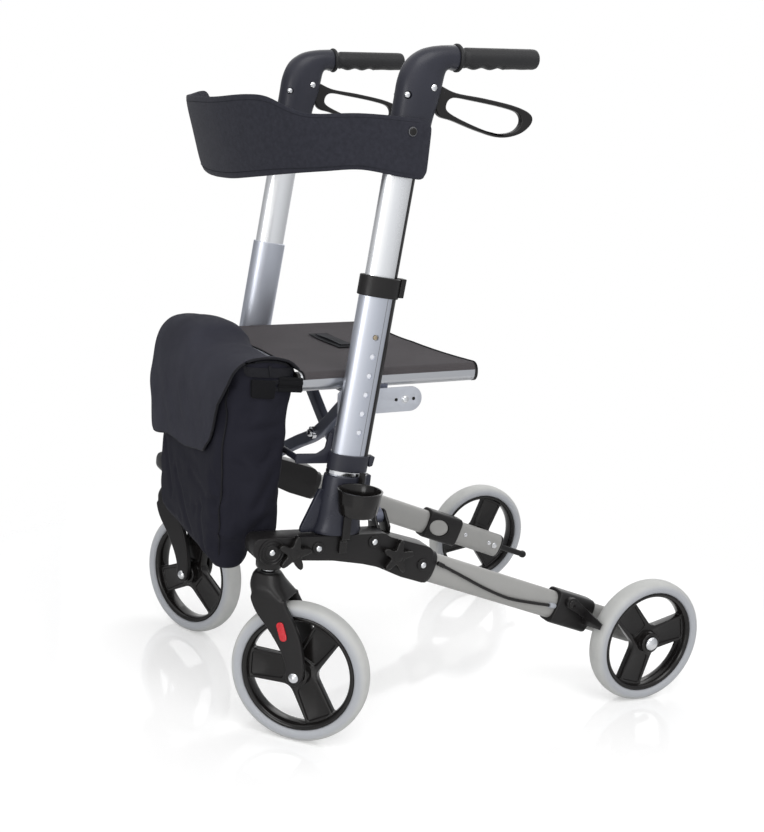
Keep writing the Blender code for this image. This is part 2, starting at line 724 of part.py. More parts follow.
def rear_axle(name):
    """Bolt through the tube's end with a spacer before the hub and a nut behind it."""
    side = SIDES[name]
    inner = SIDE_X - TUBE_WIDTH / 2
    outer = SIDE_X + TUBE_WIDTH / 2 + CLEAR
    hub_in = rear_wheel_x() - HUB_LENGTH / 2 - CLEAR
    hub_out = rear_wheel_x() + HUB_LENGTH / 2 + CLEAR
    profile = [(AXLE_RADIUS, inner + 0.002), (AXLE_RADIUS, outer), (0.009, outer), (0.009, hub_in),
               (AXLE_RADIUS, hub_in), (AXLE_RADIUS, hub_out), (0.0095, hub_out),
               (0.0070, hub_out + 0.0055), (0.003, hub_out + 0.0065)]
    return turned(profile, Z * axle_height(), X * side, 10)


def brake_housing(name):
    """Sleeve round the rear tube, with a window inside and the brake arm's pin outside."""
    side = SIDES[name]
    along = (tube_at(side, 1) - tube_at(side, 0)).normalized()
    u, v = across(along)
    middle = tube_at(side, BRAKE_MIDDLE)
    half_u, half_v = TUBE_HEIGHT / 2 + BRAKE_WALL, TUBE_WIDTH / 2 + BRAKE_WALL
    sleeve = skin([oval(middle + along * s, u, v, half_u, half_v, 16, 3.0)
                   for s in (-BRAKE_HALF_LENGTH, BRAKE_HALF_LENGTH)])
    tube = bar(tube_at(side, BRAKE_MIDDLE - 0.06), tube_at(side, BRAKE_MIDDLE + 0.06),
               TUBE_HEIGHT / 2 + CLEAR, TUBE_WIDTH / 2 + CLEAR, 16, 2.4)
    inward = -X * side
    window_at = middle - along * 0.004
    window = skin([oval(window_at + inward * d, along, u, 0.0185, 0.0125, 12)
                   for d in (0.006, 0.03)])
    y, z = brake_pivot()
    face = SIDE_X + half_v
    root = face - 0.004
    tip = face + RUN + ARM_PLATE
    pin = bar(Vector((side * root, y, z)), Vector((side * tip, y, z)), BRAKE_PIN, count=12)
    boss = bar(Vector((side * (root - 0.002), y, z)), Vector((side * face, y, z)), 0.008, count=12)
    return cut(join(sleeve, boss, pin), tube, window)


def brake_arm(name):
    """Arm on the housing's pin with the shoe that presses on the tyre."""
    side = SIDES[name]
    plane = SIDE_X + TUBE_WIDTH / 2 + BRAKE_WALL + RUN
    shoe_in, shoe_out = plane, rear_wheel_x() + TYRE_WIDTH / 2 - 0.002
    near = WHEEL_RADIUS + SHOE_GAP
    centre = (0.0, axle_height())
    low, high = SHOE_ANGLES
    pad = arc(centre, near, 180 - low, 180 - high, 4)
    pad += arc(centre, near + SHOE_DEPTH, 180 - high, 180 - low - 6, 3)
    shoe = prism(pad, side_frame(side), shoe_in, shoe_out)
    turn = math.radians(180 - (low + high) / 2)
    reach = near + SHOE_DEPTH * 0.6
    middle = (reach * math.cos(turn), axle_height() + reach * math.sin(turn))
    strip = band([brake_pivot(), middle], [0.017, 0.012], (True, False))
    arm = prism(strip, side_frame(side), plane, plane + ARM_PLATE)
    y, z = brake_pivot()
    hole = bar(Vector((side * (plane - 0.01), y, z)), Vector((side * (plane + 0.02), y, z)),
               BRAKE_PIN + RUN, count=12)
    return cut(join(shoe, arm), hole)


def brake_cable(name):
    """The run of cable along the rear tube's outer side, from the bracket to the brake housing."""
    side = SIDES[name]
    reach = TUBE_WIDTH / 2 + CABLE_RADIUS + CLEAR
    y_start, y_end = -0.376, BRAKE_MIDDLE - BRAKE_HALF_LENGTH - 0.004
    heights = (0.012, 0.004, -0.004, -0.008, -0.004, 0.002)
    points = []
    for i, height in enumerate(heights):
        y = y_start + (y_end - y_start) * i / (len(heights) - 1)
        at = tube_at(side, y)
        inset = 0.0012 * (height / 0.012) ** 2
        points.append((side * (SIDE_X + reach - inset), at.y, at.z + height))
    path = [Vector(p) for p in smooth_curve(points, 2)]
    rings = []
    for i, p in enumerate(path):
        way = path[min(i + 1, len(path) - 1)] - path[max(i - 1, 0)]
        u, v = across(way)
        rings.append(oval(p, u, v, CABLE_RADIUS, CABLE_RADIUS, 6))
    return skin(rings)


def seat_support(name):
    """Plate on the column's inner side, with a shelf that the seat rail rests on."""
    side = SIDES[name]
    origin, u, v, n = fold_frame()
    frame = (origin, n, v, u * side)
    top = RAIL_RISE - RAIL_HALF_HEIGHT - CLEAR
    low = top - SUPPORT_HEIGHT
    middle = (top + low) / 2
    inner_face = column_at(1, 0.495).x - LOWER_WIDE / 2 - CLEAR
    rear = 0.052 - SUPPORT_HEIGHT / 2
    outline = [(-0.066, low + 0.006), (-0.060, low), (rear, low)]
    outline += arc((rear, middle), SUPPORT_HEIGHT / 2, -90, 90, 8)[1:-1]
    outline += [(rear, top), (-0.060, top), (-0.066, top - 0.006)]
    plate = prism(outline, frame, inner_face - SUPPORT_THICKNESS, inner_face)
    shelf_box = [(-0.059, top - SUPPORT_THICKNESS), (-0.036, top - SUPPORT_THICKNESS),
                 (-0.036, top), (-0.059, top)]
    shelf = prism(shelf_box, frame, RAIL_X - 0.009, inner_face - 0.001)
    holes = []
    for offset in (-0.014, 0.014):
        spot = origin + n * (0.032 + offset) + v * middle
        holes.append(bar(spot + X * side * 0.15, spot + X * side * 0.25, 0.0028, count=8))
    return cut(join(plate, shelf), *holes)


# Handles


def grip_line(side):
    """Start, end and direction of the grip on a side."""
    x = column_at(side, 0.93).x
    start, end = GRIP_START + X * x, GRIP_END + X * x
    return start, end, (end - start).normalized()


def housing(name):
    """Elbow on top of the column; rings run from its lower end round to the grip."""
    side = SIDES[name]
    outer = ((-0.5290, HOUSING_LOW), (-0.5215, 0.862), (-0.5190, 0.898), (-0.5120, 0.925),
             (-0.4960, 0.944), (-0.4680, 0.9565))
    inner = ((-0.4715, HOUSING_LOW), (-0.4625, 0.862), (-0.4560, 0.893), (-0.4530, 0.913),
             (-0.4510, 0.9225), (-0.4450, 0.9280))
    halves = (HOUSING_HALF, HOUSING_HALF, HOUSING_HALF, 0.0192, 0.0185, 0.0172)
    start, end, way = grip_line(side)
    rings = []
    for (y0, z0), (y1, z1), half in zip(outer, inner, halves):
        x = column_at(side, min(z0, 0.93)).x
        a, b = Vector((x, y0, z0)), Vector((x, y1, z1))
        rings.append(oval((a + b) / 2, (b - a).normalized(), X, (b - a).length / 2, half, 14, 2.3))
    rings.append(oval(start - way * CLEAR, -across(way)[0], X, 0.0163, 0.0163, 14, 2.1))
    shape = skin(rings)
    spigot = bar(start - way * 0.012, end - way * 0.014, BAR_RADIUS, count=10)
    bore = skin([column_oval(side, z, LOWER_LONG / 2 - LOWER_WALL - SLIDE_GAP + CLEAR,
                             LOWER_WIDE / 2 - LOWER_WALL - SLIDE_GAP + CLEAR)
                 for z in (HOUSING_LOW - 0.02, UPPER_TOP + CLEAR)])
    x = start.x
    half_slot = LEVER_THICKNESS / 2 + LEVER_PLAY
    notch = prism(LEVER_SLOT, (Vector((x, 0, 0)), Y, Z, X), -half_slot, half_slot)
    y, z = LEVER_PIVOT
    hole = bar(Vector((x - 0.03, y, z)), Vector((x + 0.03, y, z)), LEVER_PIN + CLEAR, count=8)
    recesses = [bar(Vector((x + s * (HOUSING_HALF - RECESS_DEPTH), y, z)), Vector((x + s * 0.03, y, z)),
                    RECESS_RADIUS, count=8) for s in (-1, 1)]
    y, z = HOUSING_BOLT
    recesses.append(bar(Vector((x + side * BOLT_SEAT, y, z)), Vector((x + side * 0.03, y, z)),
                        RECESS_RADIUS, count=8))
    return cut(join(shape, spigot), bore, notch, hole, *recesses)


def upper_column(name):
    side = SIDES[name]
    long = LOWER_LONG / 2 - LOWER_WALL - SLIDE_GAP
    wide = LOWER_WIDE / 2 - LOWER_WALL - SLIDE_GAP
    low = LOWER_TOP - INSERTED
    outer = [column_oval(side, z, long, wide) for z in (low, UPPER_TOP)]
    inner = [column_oval(side, z, long - UPPER_WALL, wide - UPPER_WALL) for z in (UPPER_TOP, low)]
    tube = skin(outer + inner, closed=True)
    at = column_at(side, HOLE_TOP)
    hole = bar(at + X * side * 0.005, at + X * side * 0.03, HOLE_RADIUS - 0.0003, count=8)
    slot_half = LEVER_THICKNESS / 2 + LEVER_PLAY
    relief = prism(LEVER_SLOT, (Vector((column_at(side, 0.93).x, 0, 0)), Y, Z, X), -slot_half, slot_half)
    return cut(tube, hole, relief)


def lock_button(name):
    """Sprung button inside the upper column; its tip shows in the topmost height hole."""
    side = SIDES[name]
    at = column_at(side, HOLE_TOP)
    wide = LOWER_WIDE / 2 - LOWER_WALL - SLIDE_GAP
    profile = [(0.0050, wide - UPPER_WALL - 0.004), (0.0050, wide - UPPER_WALL - 0.001),
               (HOLE_RADIUS - 0.0007, wide - UPPER_WALL - 0.001),
               (HOLE_RADIUS - 0.0007, wide - 0.0004), (0.0016, wide + 0.0002)]
    return turned(profile, at, X * side, 8)


def grip(name):
    """Rubber grip: flange, neck, and finger bumps below."""
    side = SIDES[name]
    start, end, way = grip_line(side)
    length = (end - start).length
    u, v = across(way)
    u = u if u.z > 0 else -u
    stations = [(0.0, GRIP_FLANGE - 0.002), (0.0015, GRIP_FLANGE), (0.0045, GRIP_FLANGE - 0.001),
                (0.0080, GRIP_RADIUS - 0.0015)]
    steps = FINGER_BUMPS * 2
    first, last = 0.016, length - 0.010
    stations += [(first + (last - first) * i / steps, GRIP_RADIUS) for i in range(steps + 1)]
    stations += [(length - 0.004, GRIP_RADIUS - 0.0004), (length - 0.001, GRIP_RADIUS - 0.0018),
                 (length, GRIP_RADIUS - 0.0045)]
    rings = []
    for s, radius in stations:
        ring = []
        wave = math.cos(2 * math.pi * FINGER_BUMPS * (s - first) / (last - first))
        bump = -0.0016 * max(wave, -1) if first <= s <= last else 0.0
        fade = 1.0 if s < length * 0.72 else 0.3
        for point in oval(start + way * s, u, v, radius, radius, 10):
            below = -(point - start - way * s).dot(u) / radius
            ring.append(point - u * bump * fade * max(below, 0) if below > 0 else point)
        rings.append(ring)
    bore = bar(start - way * 0.01, end - way * (0.014 - CLEAR), BAR_RADIUS + CLEAR, count=10)
    return cut(skin(rings), bore)


def lever(name):
    """Loop lever: a plate with a long finger hole and a hub in the housing's slot."""
    side = SIDES[name]
    x = column_at(side, 0.93).x
    outside = smooth_curve([(-0.4715, 0.9095), (-0.456, 0.9065), (-0.430, 0.8995), (-0.385, 0.8975),
                            (-0.335, 0.8930), (-0.308, 0.8850), (-0.305, 0.8720), (-0.322, 0.8565),
                            (-0.352, 0.8485), (-0.388, 0.8530), (-0.430, 0.8625), (-0.4520, 0.8665),
                            (-0.4630, 0.8810), (-0.4805, 0.8985)], 2, closed=True)
    hole = smooth_curve([(-0.4435, 0.882), (-0.434, 0.8925), (-0.400, 0.8920), (-0.350, 0.8885),
                         (-0.3275, 0.8835), (-0.3220, 0.8710), (-0.333, 0.8585), (-0.360, 0.8535),
                         (-0.395, 0.8595), (-0.436, 0.8720)], 2, closed=True)
    frame = (Vector((x, 0, 0)), Y, Z, X)
    half = LEVER_THICKNESS / 2
    plate = cut(prism(outside, frame, -half, half), prism(hole, frame, -0.02, 0.02))
    y, z = LEVER_PIVOT
    bore = bar(Vector((x - 0.03, y, z)), Vector((x + 0.03, y, z)), LEVER_PIN + RUN, count=8)
    return cut(plate, bore)


def lever_pin(name):
    side = SIDES[name]
    x = side * column_at(side, 0.93).x
    edge = HOUSING_HALF - RECESS_DEPTH + CLEAR
    profile = [(PIN_HEAD / 2, x - edge - 0.004), (PIN_HEAD, x - edge - 0.002), (PIN_HEAD, x - edge),
               (LEVER_PIN, x - edge), (LEVER_PIN, x + edge), (PIN_HEAD, x + edge),
               (PIN_HEAD, x + edge + 0.002), (PIN_HEAD / 2, x + edge + 0.004)]
    return turned(profile, Vector((0, *LEVER_PIVOT)), X * side, 8)


def strap_inner():
    """Half the width between the strap's inner faces at the handles."""
    return column_at(1, HOUSING_LOW).x + HOUSING_HALF + CLEAR


def strap_ring(t):
    """Four-cornered section of the back strap; t runs from 0 at the left handle to 1 at the right."""
    lean, squareness = STRAP_LEAN, STRAP_SQUARENESS
    angle = math.pi * min(max((t - lean) / (1 - 2 * lean), 0), 1)
    c, s = math.cos(angle), math.sin(angle)
    wide = 0.5 - 0.5 * math.cos(min(max((0.5 - abs(t - 0.5) - 0.22) / 0.18, 0), 1) * math.pi)
    low = STRAP_END_LOW + (STRAP_MID_LOW - STRAP_END_LOW) * wide
    high = STRAP_END_TOP + (STRAP_MID_TOP - STRAP_END_TOP) * wide
    run = STRAP_REAR - (STRAP_REAR - STRAP_BOLT[0]) * min(t, 1 - t, lean) / lean
    ring = []
    for depth, z in ((STRAP_DEPTH_LOW, low), (STRAP_DEPTH_TOP, high)):
        for out in (0.0, STRAP_THICKNESS) if z == low else (STRAP_THICKNESS, 0.0):
            x = (strap_inner() + out) * math.copysign(abs(c) ** (2 / squareness), c)
            y = run - (depth + out) * abs(s) ** (2 / squareness)
            ring.append(Vector((x, y, z)))
    return ring


def back_strap():
    """Padded band round the front of both handles, taller in the middle."""
    return skin([strap_ring(i / STRAP_SECTIONS) for i in range(STRAP_SECTIONS + 1)])


def handle(name):
    side = SIDES[name]
    carrier = name + "_handle"
    body(carrier, column_at(side, LOWER_TOP), name + "_frame")
    put(name + "_upper_column", upper_column(name), carrier, "bright_aluminium")
    put(name + "_handle_housing", housing(name), carrier, "black_plastic")
    put(name + "_grip", grip(name), carrier, "grip_rubber")
    put(name + "_lever_pin", lever_pin(name), carrier, "chrome")
    x = column_at(side, 0.93).x
    body(name + "_lever", Vector((x, *LEVER_PIVOT)), carrier)
    put(name + "_brake_lever", lever(name), name + "_lever", "black_plastic")
    body(name + "_button", column_at(side, HOLE_TOP), carrier)
    put(name + "_lock_button", lock_button(name), name + "_button", "brass")


# Scissor brace and seat


def brace_arm(foot_side, depth):
    """A cranked arm from a foot pivot on one side to a cradle under the rail of the other side."""
    origin, u, v, n = fold_frame()
    frame = (origin, u * foot_side, v, n)
    top = (-RAIL_X, RAIL_RISE)
    reach = math.hypot(*top)
    stop = 1 - (RAIL_HALF_HEIGHT + 0.002) / reach
    path = smooth_curve([(FOOT_X, -FOOT_DROP), (FOOT_X * 0.45, -FOOT_DROP * 0.45), (0.0, 0.0),
                         (top[0] * 0.5, top[1] * 0.5), (top[0] * stop, top[1] * stop)], 2)
    widths = [ARM_WIDTH] * len(path)
    half = ARM_THICKNESS / 2
    arm = prism(band(path, widths, (True, False)), frame, depth - half, depth + half)
    rail = skin([rail_ring(-foot_side, at, CLEAR) for at in (-0.2, 0.2)])
    block = [(top[0] - 0.0095, top[1] - 0.004), (top[0] - 0.0085, top[1] - 0.0165),
             (top[0] + 0.0105, top[1] - 0.0165), (top[0] + 0.0125, top[1] - 0.004)]
    cradle = prism(block, frame, depth - CRADLE_LENGTH / 2, depth + CRADLE_LENGTH / 2)
    bores = [bar(fold_point(x, height, -0.05), fold_point(x, height, 0.05), PIVOT_RADIUS + RUN, count=12)
             for x, height in ((0, 0), (foot_side * FOOT_X, -FOOT_DROP))]
    return cut(join(arm, cradle), rail, *bores)


def brace_pivot():
    """Bolt through both arms, with a washer between them and one at each end."""
    outer = ARM_SPACING / 2 + ARM_THICKNESS / 2 + CLEAR
    inner = ARM_SPACING / 2 - ARM_THICKNESS / 2 - CLEAR
    washer, head = 0.0095, 0.0065
    profile = [(0.003, -outer - 0.0125), (head, -outer - 0.011), (washer, -outer - 0.0065),
               (washer, -outer), (PIVOT_RADIUS, -outer),
               (PIVOT_RADIUS, -inner), (washer, -inner), (washer, inner), (PIVOT_RADIUS, inner),
               (PIVOT_RADIUS, outer), (washer, outer), (washer, outer + 0.003),
               (head, outer + 0.009)]
    return turned(profile, fold_point(0, 0), fold_frame()[3], 12)


def rail_ring(side, along, grow=0.0):
    u, v = fold_frame()[1:3]
    return oval(fold_point(side * RAIL_X, RAIL_RISE, along), v, u, RAIL_HALF_HEIGHT + grow,
                RAIL_HALF_WIDTH + grow, 16, 2.3)


def seat_rail(side):
    outer = [rail_ring(side, at) for at in (RAIL_FRONT, RAIL_REAR)]
    inner = [rail_ring(side, at, -RAIL_WALL) for at in (RAIL_REAR, RAIL_FRONT)]
    return skin(outer + inner, closed=True)


def seat_cloth():
    """Sheet wrapped round the outer sides of both rails, with a slight sag between them."""
    origin, u, v, n = fold_frame()

    def line(grow):
        a, b = RAIL_HALF_WIDTH + grow, RAIL_HALF_HEIGHT + grow
        left = []
        for angle in (math.radians(d) for d in (0, 18, 36, 54, 72, 90)):
            c, s = math.cos(angle), math.sin(angle)
            left.append((RAIL_X + a * abs(c) ** (2 / 2.2), RAIL_RISE + b * abs(s) ** (2 / 2.2)))
        middle = []
        for i in range(1, 8):
            x = RAIL_X * (1 - 2 * i / 8)
            sag = CLOTH_SAG * (1 - (x / RAIL_X) ** 2)
            middle.append((x, RAIL_RISE + b - sag))
        return left + middle + [(-x, z) for x, z in reversed(left)]

    low, high = line(2 * CLEAR), line(2 * CLEAR + CLOTH_THICKNESS)
    return prism(high + low[::-1], (origin, u, v, n), RAIL_FRONT + CLOTH_MARGIN, RAIL_REAR - CLOTH_MARGIN)


def pull_strap():
    """Webbing loop on the seat that lifts it to fold the frame."""
    length, width, thick = PULL_STRAP
    x, depth = PULL_STRAP_AT
    rows = []
    for i in range(9):
        at = x - length / 2 + length * i / 8
        sag = CLOTH_SAG * (1 - (at / RAIL_X) ** 2)
        base = RAIL_RISE + RAIL_HALF_HEIGHT + CLOTH_THICKNESS - sag + 3.5 * CLEAR
        rows.append([fold_point(at, base + dz, depth + dd)
                     for dz, dd in ((0, -width / 2), (0, width / 2), (thick, width / 2), (thick, -width / 2))])
    return skin(rows)


# Bag and cane holder


def bag_ring(level, wall=0.0):
    """One level of the bag, drawn in by the wall for its inner face."""
    z, rear, front_left, left, front_right, right, corner = level
    rear, left, right = rear - wall, left - wall, right - wall
    front_left, front_right = front_left + wall, front_right + wall
    nose = 0.015
    ring = []
    for x, y, radius, start in (
            (left - corner, rear - corner, corner, 0), (corner - right, rear - corner, corner, 90),
            (nose - right, front_right + nose, nose, 180), (left - nose, front_left + nose, nose, 270)):
        ring += [Vector((px, py, z)) for px, py in arc((x, y), radius, start, start + 90, 2)]
    return ring


def bag():
    """Pouch in front of the columns: open above, and clear of the casters' sweep below."""
    wide = BAG_HALF_WIDTH
    levels = (
        # height, rear, front and half width at the left, front and half width at the right, corner
        (BAG_BOTTOM, -0.650, -0.696, wide - 0.012, -0.688, wide - 0.020, 0.020),
        (BAG_BOTTOM + 0.041, -0.648, -0.700, wide - 0.010, -0.689, wide - 0.014, 0.020),
        (0.275, -0.628, -0.704, wide - 0.002, -0.688, wide - 0.006, 0.015),
        (0.345, BAG_REAR, -0.708, wide, -0.692, wide, 0.015),
        (0.405, BAG_REAR, -0.713, wide + 0.003, -0.700, wide, 0.015),
        (0.490, BAG_REAR, -0.714, wide + 0.003, -0.698, wide, 0.015),
        (BAG_TOP, BAG_REAR - 0.003, -0.700, wide, -0.684, wide - 0.002, 0.015),
    )
    outer = [bag_ring(level) for level in levels]
    inner = [bag_ring(level, BAG_WALL) for level in levels[::-1]]
    floor = inner.pop()
    inner.append([point + Z * BAG_WALL for point in floor])
    whole = skin(outer + inner)
    corners = [bar(Vector((side * SIDE_X, STEM_Y, BAG_BOTTOM - 0.01)),
                   Vector((side * SIDE_X, STEM_Y, FORK_SWEEP_TOP)), FORK_SWEEP, count=24)
               for side in (-1, 1)]
    return cut(whole, *corners)


def bag_flap():
    """Sheet from the bag's rear edge over its mouth and down its front."""
    path = [(-0.6150, BAG_TOP + 0.0014), (-0.640, 0.5335), (-0.668, 0.5335), (-0.694, 0.526),
            (-0.7125, 0.507), (-0.7195, 0.470), (-0.7185, FLAP_LOW)]
    outline = band(smooth_curve(path, 2), [BAG_WALL] * (2 * len(path) - 1))
    wide = BAG_HALF_WIDTH + 0.004
    left = [Vector((wide, y, z)) for y, z in outline]
    right = [Vector((-wide, BAG_REAR + (y - BAG_REAR) * FLAP_NARROWING, z)) for y, z in outline]
    return skin([left, right])


def cane_cup():
    """Open cup beside the foot of the left column, on a leg from the bracket."""
    wide = LOWER_WIDE / 2 + SOCKET_WALL
    foot = Vector((column_at(1, CUP_LOW).x + wide + CUP_STANDOFF + CLEAR, CUP_Y, CUP_LOW))
    wall, height = CUP_WALL, CUP_HEIGHT
    cup = turned([(0.004, 0.0), (CUP_RADIUS - 0.004, 0.0), (CUP_RADIUS, 0.006),
                  (CUP_RADIUS + 0.001, height), (CUP_RADIUS - wall, height),
                  (CUP_RADIUS - wall - 0.001, wall + 0.003), (CUP_RADIUS - 0.007, wall), (0.004, wall)],
                 foot, Z, 16, closed=True)
    face = SIDE_X + BRACKET_WIDTH / 2 + CLEAR
    step = column_at(1, BRACKET_TOP).x + wide + 0.0022
    thick = CUP_LEG
    outline = [(face, BRACKET_TOP - 0.026), (face + thick, BRACKET_TOP - 0.026),
               (face + thick, BRACKET_TOP - 0.009), (step + thick, BRACKET_TOP - 0.004),
               (step + thick, CUP_LOW + 0.002), (step, CUP_LOW + 0.002), (step, BRACKET_TOP - 0.0015),
               (face, BRACKET_TOP - 0.0065)]
    leg = prism(outline, (Vector((0, foot.y, 0)), X, Z, Y), -0.006, 0.006)
    return join(cup, leg)


def cane_clip():
    """Band round the top of the left lower column."""
    long, wide = LOWER_LONG / 2, LOWER_WIDE / 2
    band_rings = [column_oval(1, z, long + CLIP_WALL, wide + CLIP_WALL)
                  for z in (CLIP_LOW, CLIP_LOW + CLIP_HEIGHT)]
    bore = [column_oval(1, z, long + CLEAR, wide + CLEAR)
            for z in (CLIP_LOW - 0.02, CLIP_LOW + CLIP_HEIGHT + 0.02)]
    return cut(skin(band_rings), skin(bore))


# Assembly


def side_parts(name):
    carrier = name + "_frame"
    put(name + "_bracket", bracket(name), carrier, "black_plastic")
    put(name + "_column_socket", column_socket(name), carrier, "black_plastic")
    put(name + "_lower_column", lower_column(name), carrier, "satin_aluminium")
    put(name + "_column_collar", collar(name), carrier, "black_plastic")
    put(name + "_rear_tube", rear_tube(name), carrier, "grey_paint")
    put(name + "_rear_plug", rear_plug(name), carrier, "black_plastic")
    put(name + "_rear_axle", rear_axle(name), carrier, "chrome")
    put(name + "_brake_housing", brake_housing(name), carrier, "black_plastic")
    put(name + "_brake_cable", brake_cable(name), carrier, "black_plastic")
    put(name + "_seat_support", seat_support(name), carrier, "bright_aluminium")
    side = SIDES[name]
    x = SIDE_X + TUBE_WIDTH / 2 + BRAKE_WALL
    body(name + "_brake", Vector((side * x, *brake_pivot())), carrier)
    put(name + "_brake_arm", brake_arm(name), name + "_brake", "black_plastic")
    rear_wheel(name)
    caster(name)
    handle(name)


def stand_on_origin(root):
    """Moves the whole so that the origin is on the floor, in the middle of its bounding box."""
    bpy.context.view_layer.update()
    points = [o.matrix_world @ Vector(corner) for o in bpy.data.objects if o.type == "MESH"
              for corner in o.bound_box]
    middle = [(min(p[i] for p in points) + max(p[i] for p in points)) / 2 for i in (0, 1)]
    root.location -= Vector((middle[0], middle[1], min(p.z for p in points)))
    bpy.context.view_layer.update()


def main():
    clear_scene()
    body("left_frame", Vector((SIDE_X, 0, 0)))
    side_parts("left")
    body("brace_arm_a", fold_point(FOOT_X, -FOOT_DROP), "left_frame")
    put("brace_arm_a", brace_arm(1, ARM_SPACING / 2), "brace_arm_a", "arm_paint")
    put("brace_pivot", brace_pivot(), "brace_arm_a", "chrome")
    put("right_seat_rail", seat_rail(-1), "brace_arm_a", "bright_aluminium")
    body("brace_arm_b", fold_point(0, 0), "brace_arm_a")
    put("brace_arm_b", brace_arm(-1, -ARM_SPACING / 2), "brace_arm_b", "arm_paint")
    put("left_seat_rail", seat_rail(1), "brace_arm_b", "bright_aluminium")
    put("seat_cloth", seat_cloth(), "brace_arm_b", "seat_mesh")
    put("seat_pull_strap", pull_strap(), "brace_arm_b", "strap_foam")
    body("right_frame", fold_point(-FOOT_X, -FOOT_DROP), "brace_arm_b")
    side_parts("right")
    put("bag", bag(), "left_frame", "bag_nylon")
    put("bag_flap", bag_flap(), "left_frame", "bag_nylon")
    put("cane_cup", cane_cup(), "left_frame", "black_plastic")
    put("cane_clip", cane_clip(), "left_frame", "black_plastic")
    put("back_strap", back_strap(), "left_handle", "strap_foam")
    stand_on_origin(BODIES["left_frame"][0])


main()
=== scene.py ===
# %% [markdown]
# # A side-folding rollator
# A rollator is a walking frame on four wheels. Two side frames of aluminium tube are joined by a
# scissor brace, and a mesh seat, a padded strap and a nylon bag hang between them. The rigid model
# is loaded first, with its joints. Each cell then dresses one piece of it: the shape a little finer
# than the working model's, and a finish with the grain, weave or gloss of the real one.

# %% Load the frame
import json
import math

import bmesh
import bpy
from mathutils import Matrix, Vector, noise


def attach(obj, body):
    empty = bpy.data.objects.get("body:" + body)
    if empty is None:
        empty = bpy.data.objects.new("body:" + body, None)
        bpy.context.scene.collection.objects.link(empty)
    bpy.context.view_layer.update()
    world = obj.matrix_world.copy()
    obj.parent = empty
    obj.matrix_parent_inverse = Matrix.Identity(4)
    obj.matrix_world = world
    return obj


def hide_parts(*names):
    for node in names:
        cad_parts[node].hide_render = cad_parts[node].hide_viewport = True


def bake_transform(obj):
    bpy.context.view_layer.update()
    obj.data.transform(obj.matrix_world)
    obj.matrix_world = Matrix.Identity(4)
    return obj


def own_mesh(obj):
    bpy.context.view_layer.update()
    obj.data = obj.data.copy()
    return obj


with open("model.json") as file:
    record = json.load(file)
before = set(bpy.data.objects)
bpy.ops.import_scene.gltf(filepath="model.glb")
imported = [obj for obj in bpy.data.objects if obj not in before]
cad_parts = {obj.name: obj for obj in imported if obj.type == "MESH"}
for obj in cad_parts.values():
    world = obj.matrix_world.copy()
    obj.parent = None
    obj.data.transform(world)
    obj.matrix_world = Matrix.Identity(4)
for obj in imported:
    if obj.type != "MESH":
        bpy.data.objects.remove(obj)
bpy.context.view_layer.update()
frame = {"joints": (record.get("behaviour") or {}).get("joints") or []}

X, Y, Z = Vector((1, 0, 0)), Vector((0, 1, 0)), Vector((0, 0, 1))

# %% [markdown]
# ## One layout for every piece
# Places below are written in metres from a point on the floor under the rear axle, midway between
# the sides. The frame's own origin lies elsewhere, so the difference is read from a wheel's joint,
# and each finished mesh is moved by it.

# %% Layout
WHEEL_RADIUS = 0.100
REAR_TRACK = 0.524
JOINTS = {joint["name"]: joint for joint in frame["joints"]}
LAYOUT = Vector(JOINTS["left_rear_spin"]["pos_m"]) - Vector((REAR_TRACK / 2, 0, WHEEL_RADIUS))
SIDES = {"left": 1, "right": -1}
SIDE_X = 0.208
STEM_Y = -0.639
TRAIL = 0.061
BRACKET_TOP = 0.288
COLUMN_Y, COLUMN_Z = -0.530, 0.440   # a point of the column's axis
COLUMN_LEAN, COLUMN_TOE = 0.0816, 0.0135
COLUMN_LONG, COLUMN_WIDE = 0.027, 0.017
UPPER_LONG, UPPER_WIDE = 0.0239, 0.0139
REAR_TUBE_Z, REAR_TUBE_DROP = 0.0995, 0.329
SEAT_TILT = math.radians(4.2)
SCISSOR_Y, SCISSOR_Z = -0.477, 0.378


def column_at(z):
    """The left column's axis at a height."""
    return Vector((SIDE_X - COLUMN_TOE * (z - BRACKET_TOP), COLUMN_Y + COLUMN_LEAN * (z - COLUMN_Z), z))


def tube_at(y):
    """The left rear tube's axis."""
    return Vector((SIDE_X, y, REAR_TUBE_Z - REAR_TUBE_DROP * y))


def fold_point(x, height, depth=0.0):
    """A point in the plane of the scissor brace, and so many metres behind it."""
    up = Vector((0, -math.sin(SEAT_TILT), math.cos(SEAT_TILT)))
    along = Vector((0, math.cos(SEAT_TILT), math.sin(SEAT_TILT)))
    return Vector((x, SCISSOR_Y, SCISSOR_Z)) + up * height + along * depth


COLUMN_WAY = column_at(1) - column_at(0)
print("layout origin", [round(v, 4) for v in LAYOUT])

# %% [markdown]
# ## The tools on the bench
# Most pieces of a rollator are one of three kinds. A tube or a moulding is a skin through rings, and
# here it starts as a grid that is rolled up, so it also gets a UV map in metres for free. A plate or
# a casting is an outline that is filled and extruded. A knob or a bolt is turned, which is a rolled
# grid again. Blender's operators act on all that is selected, so each helper selects what it needs.

# %% Selecting and editing
def only(piece):
    """Selects one object and makes it the active one."""
    bpy.ops.object.select_all(action="DESELECT")
    piece.select_set(True)
    bpy.context.view_layer.objects.active = piece
    return piece


def edit(piece):
    """Opens a piece in edit mode, with all of it selected."""
    only(piece)
    bpy.ops.object.mode_set(mode="EDIT")
    bpy.ops.mesh.select_mode(type="VERT")
    bpy.ops.mesh.select_all(action="SELECT")


def leave():
    """Closes edit mode."""
    bpy.ops.object.mode_set(mode="OBJECT")


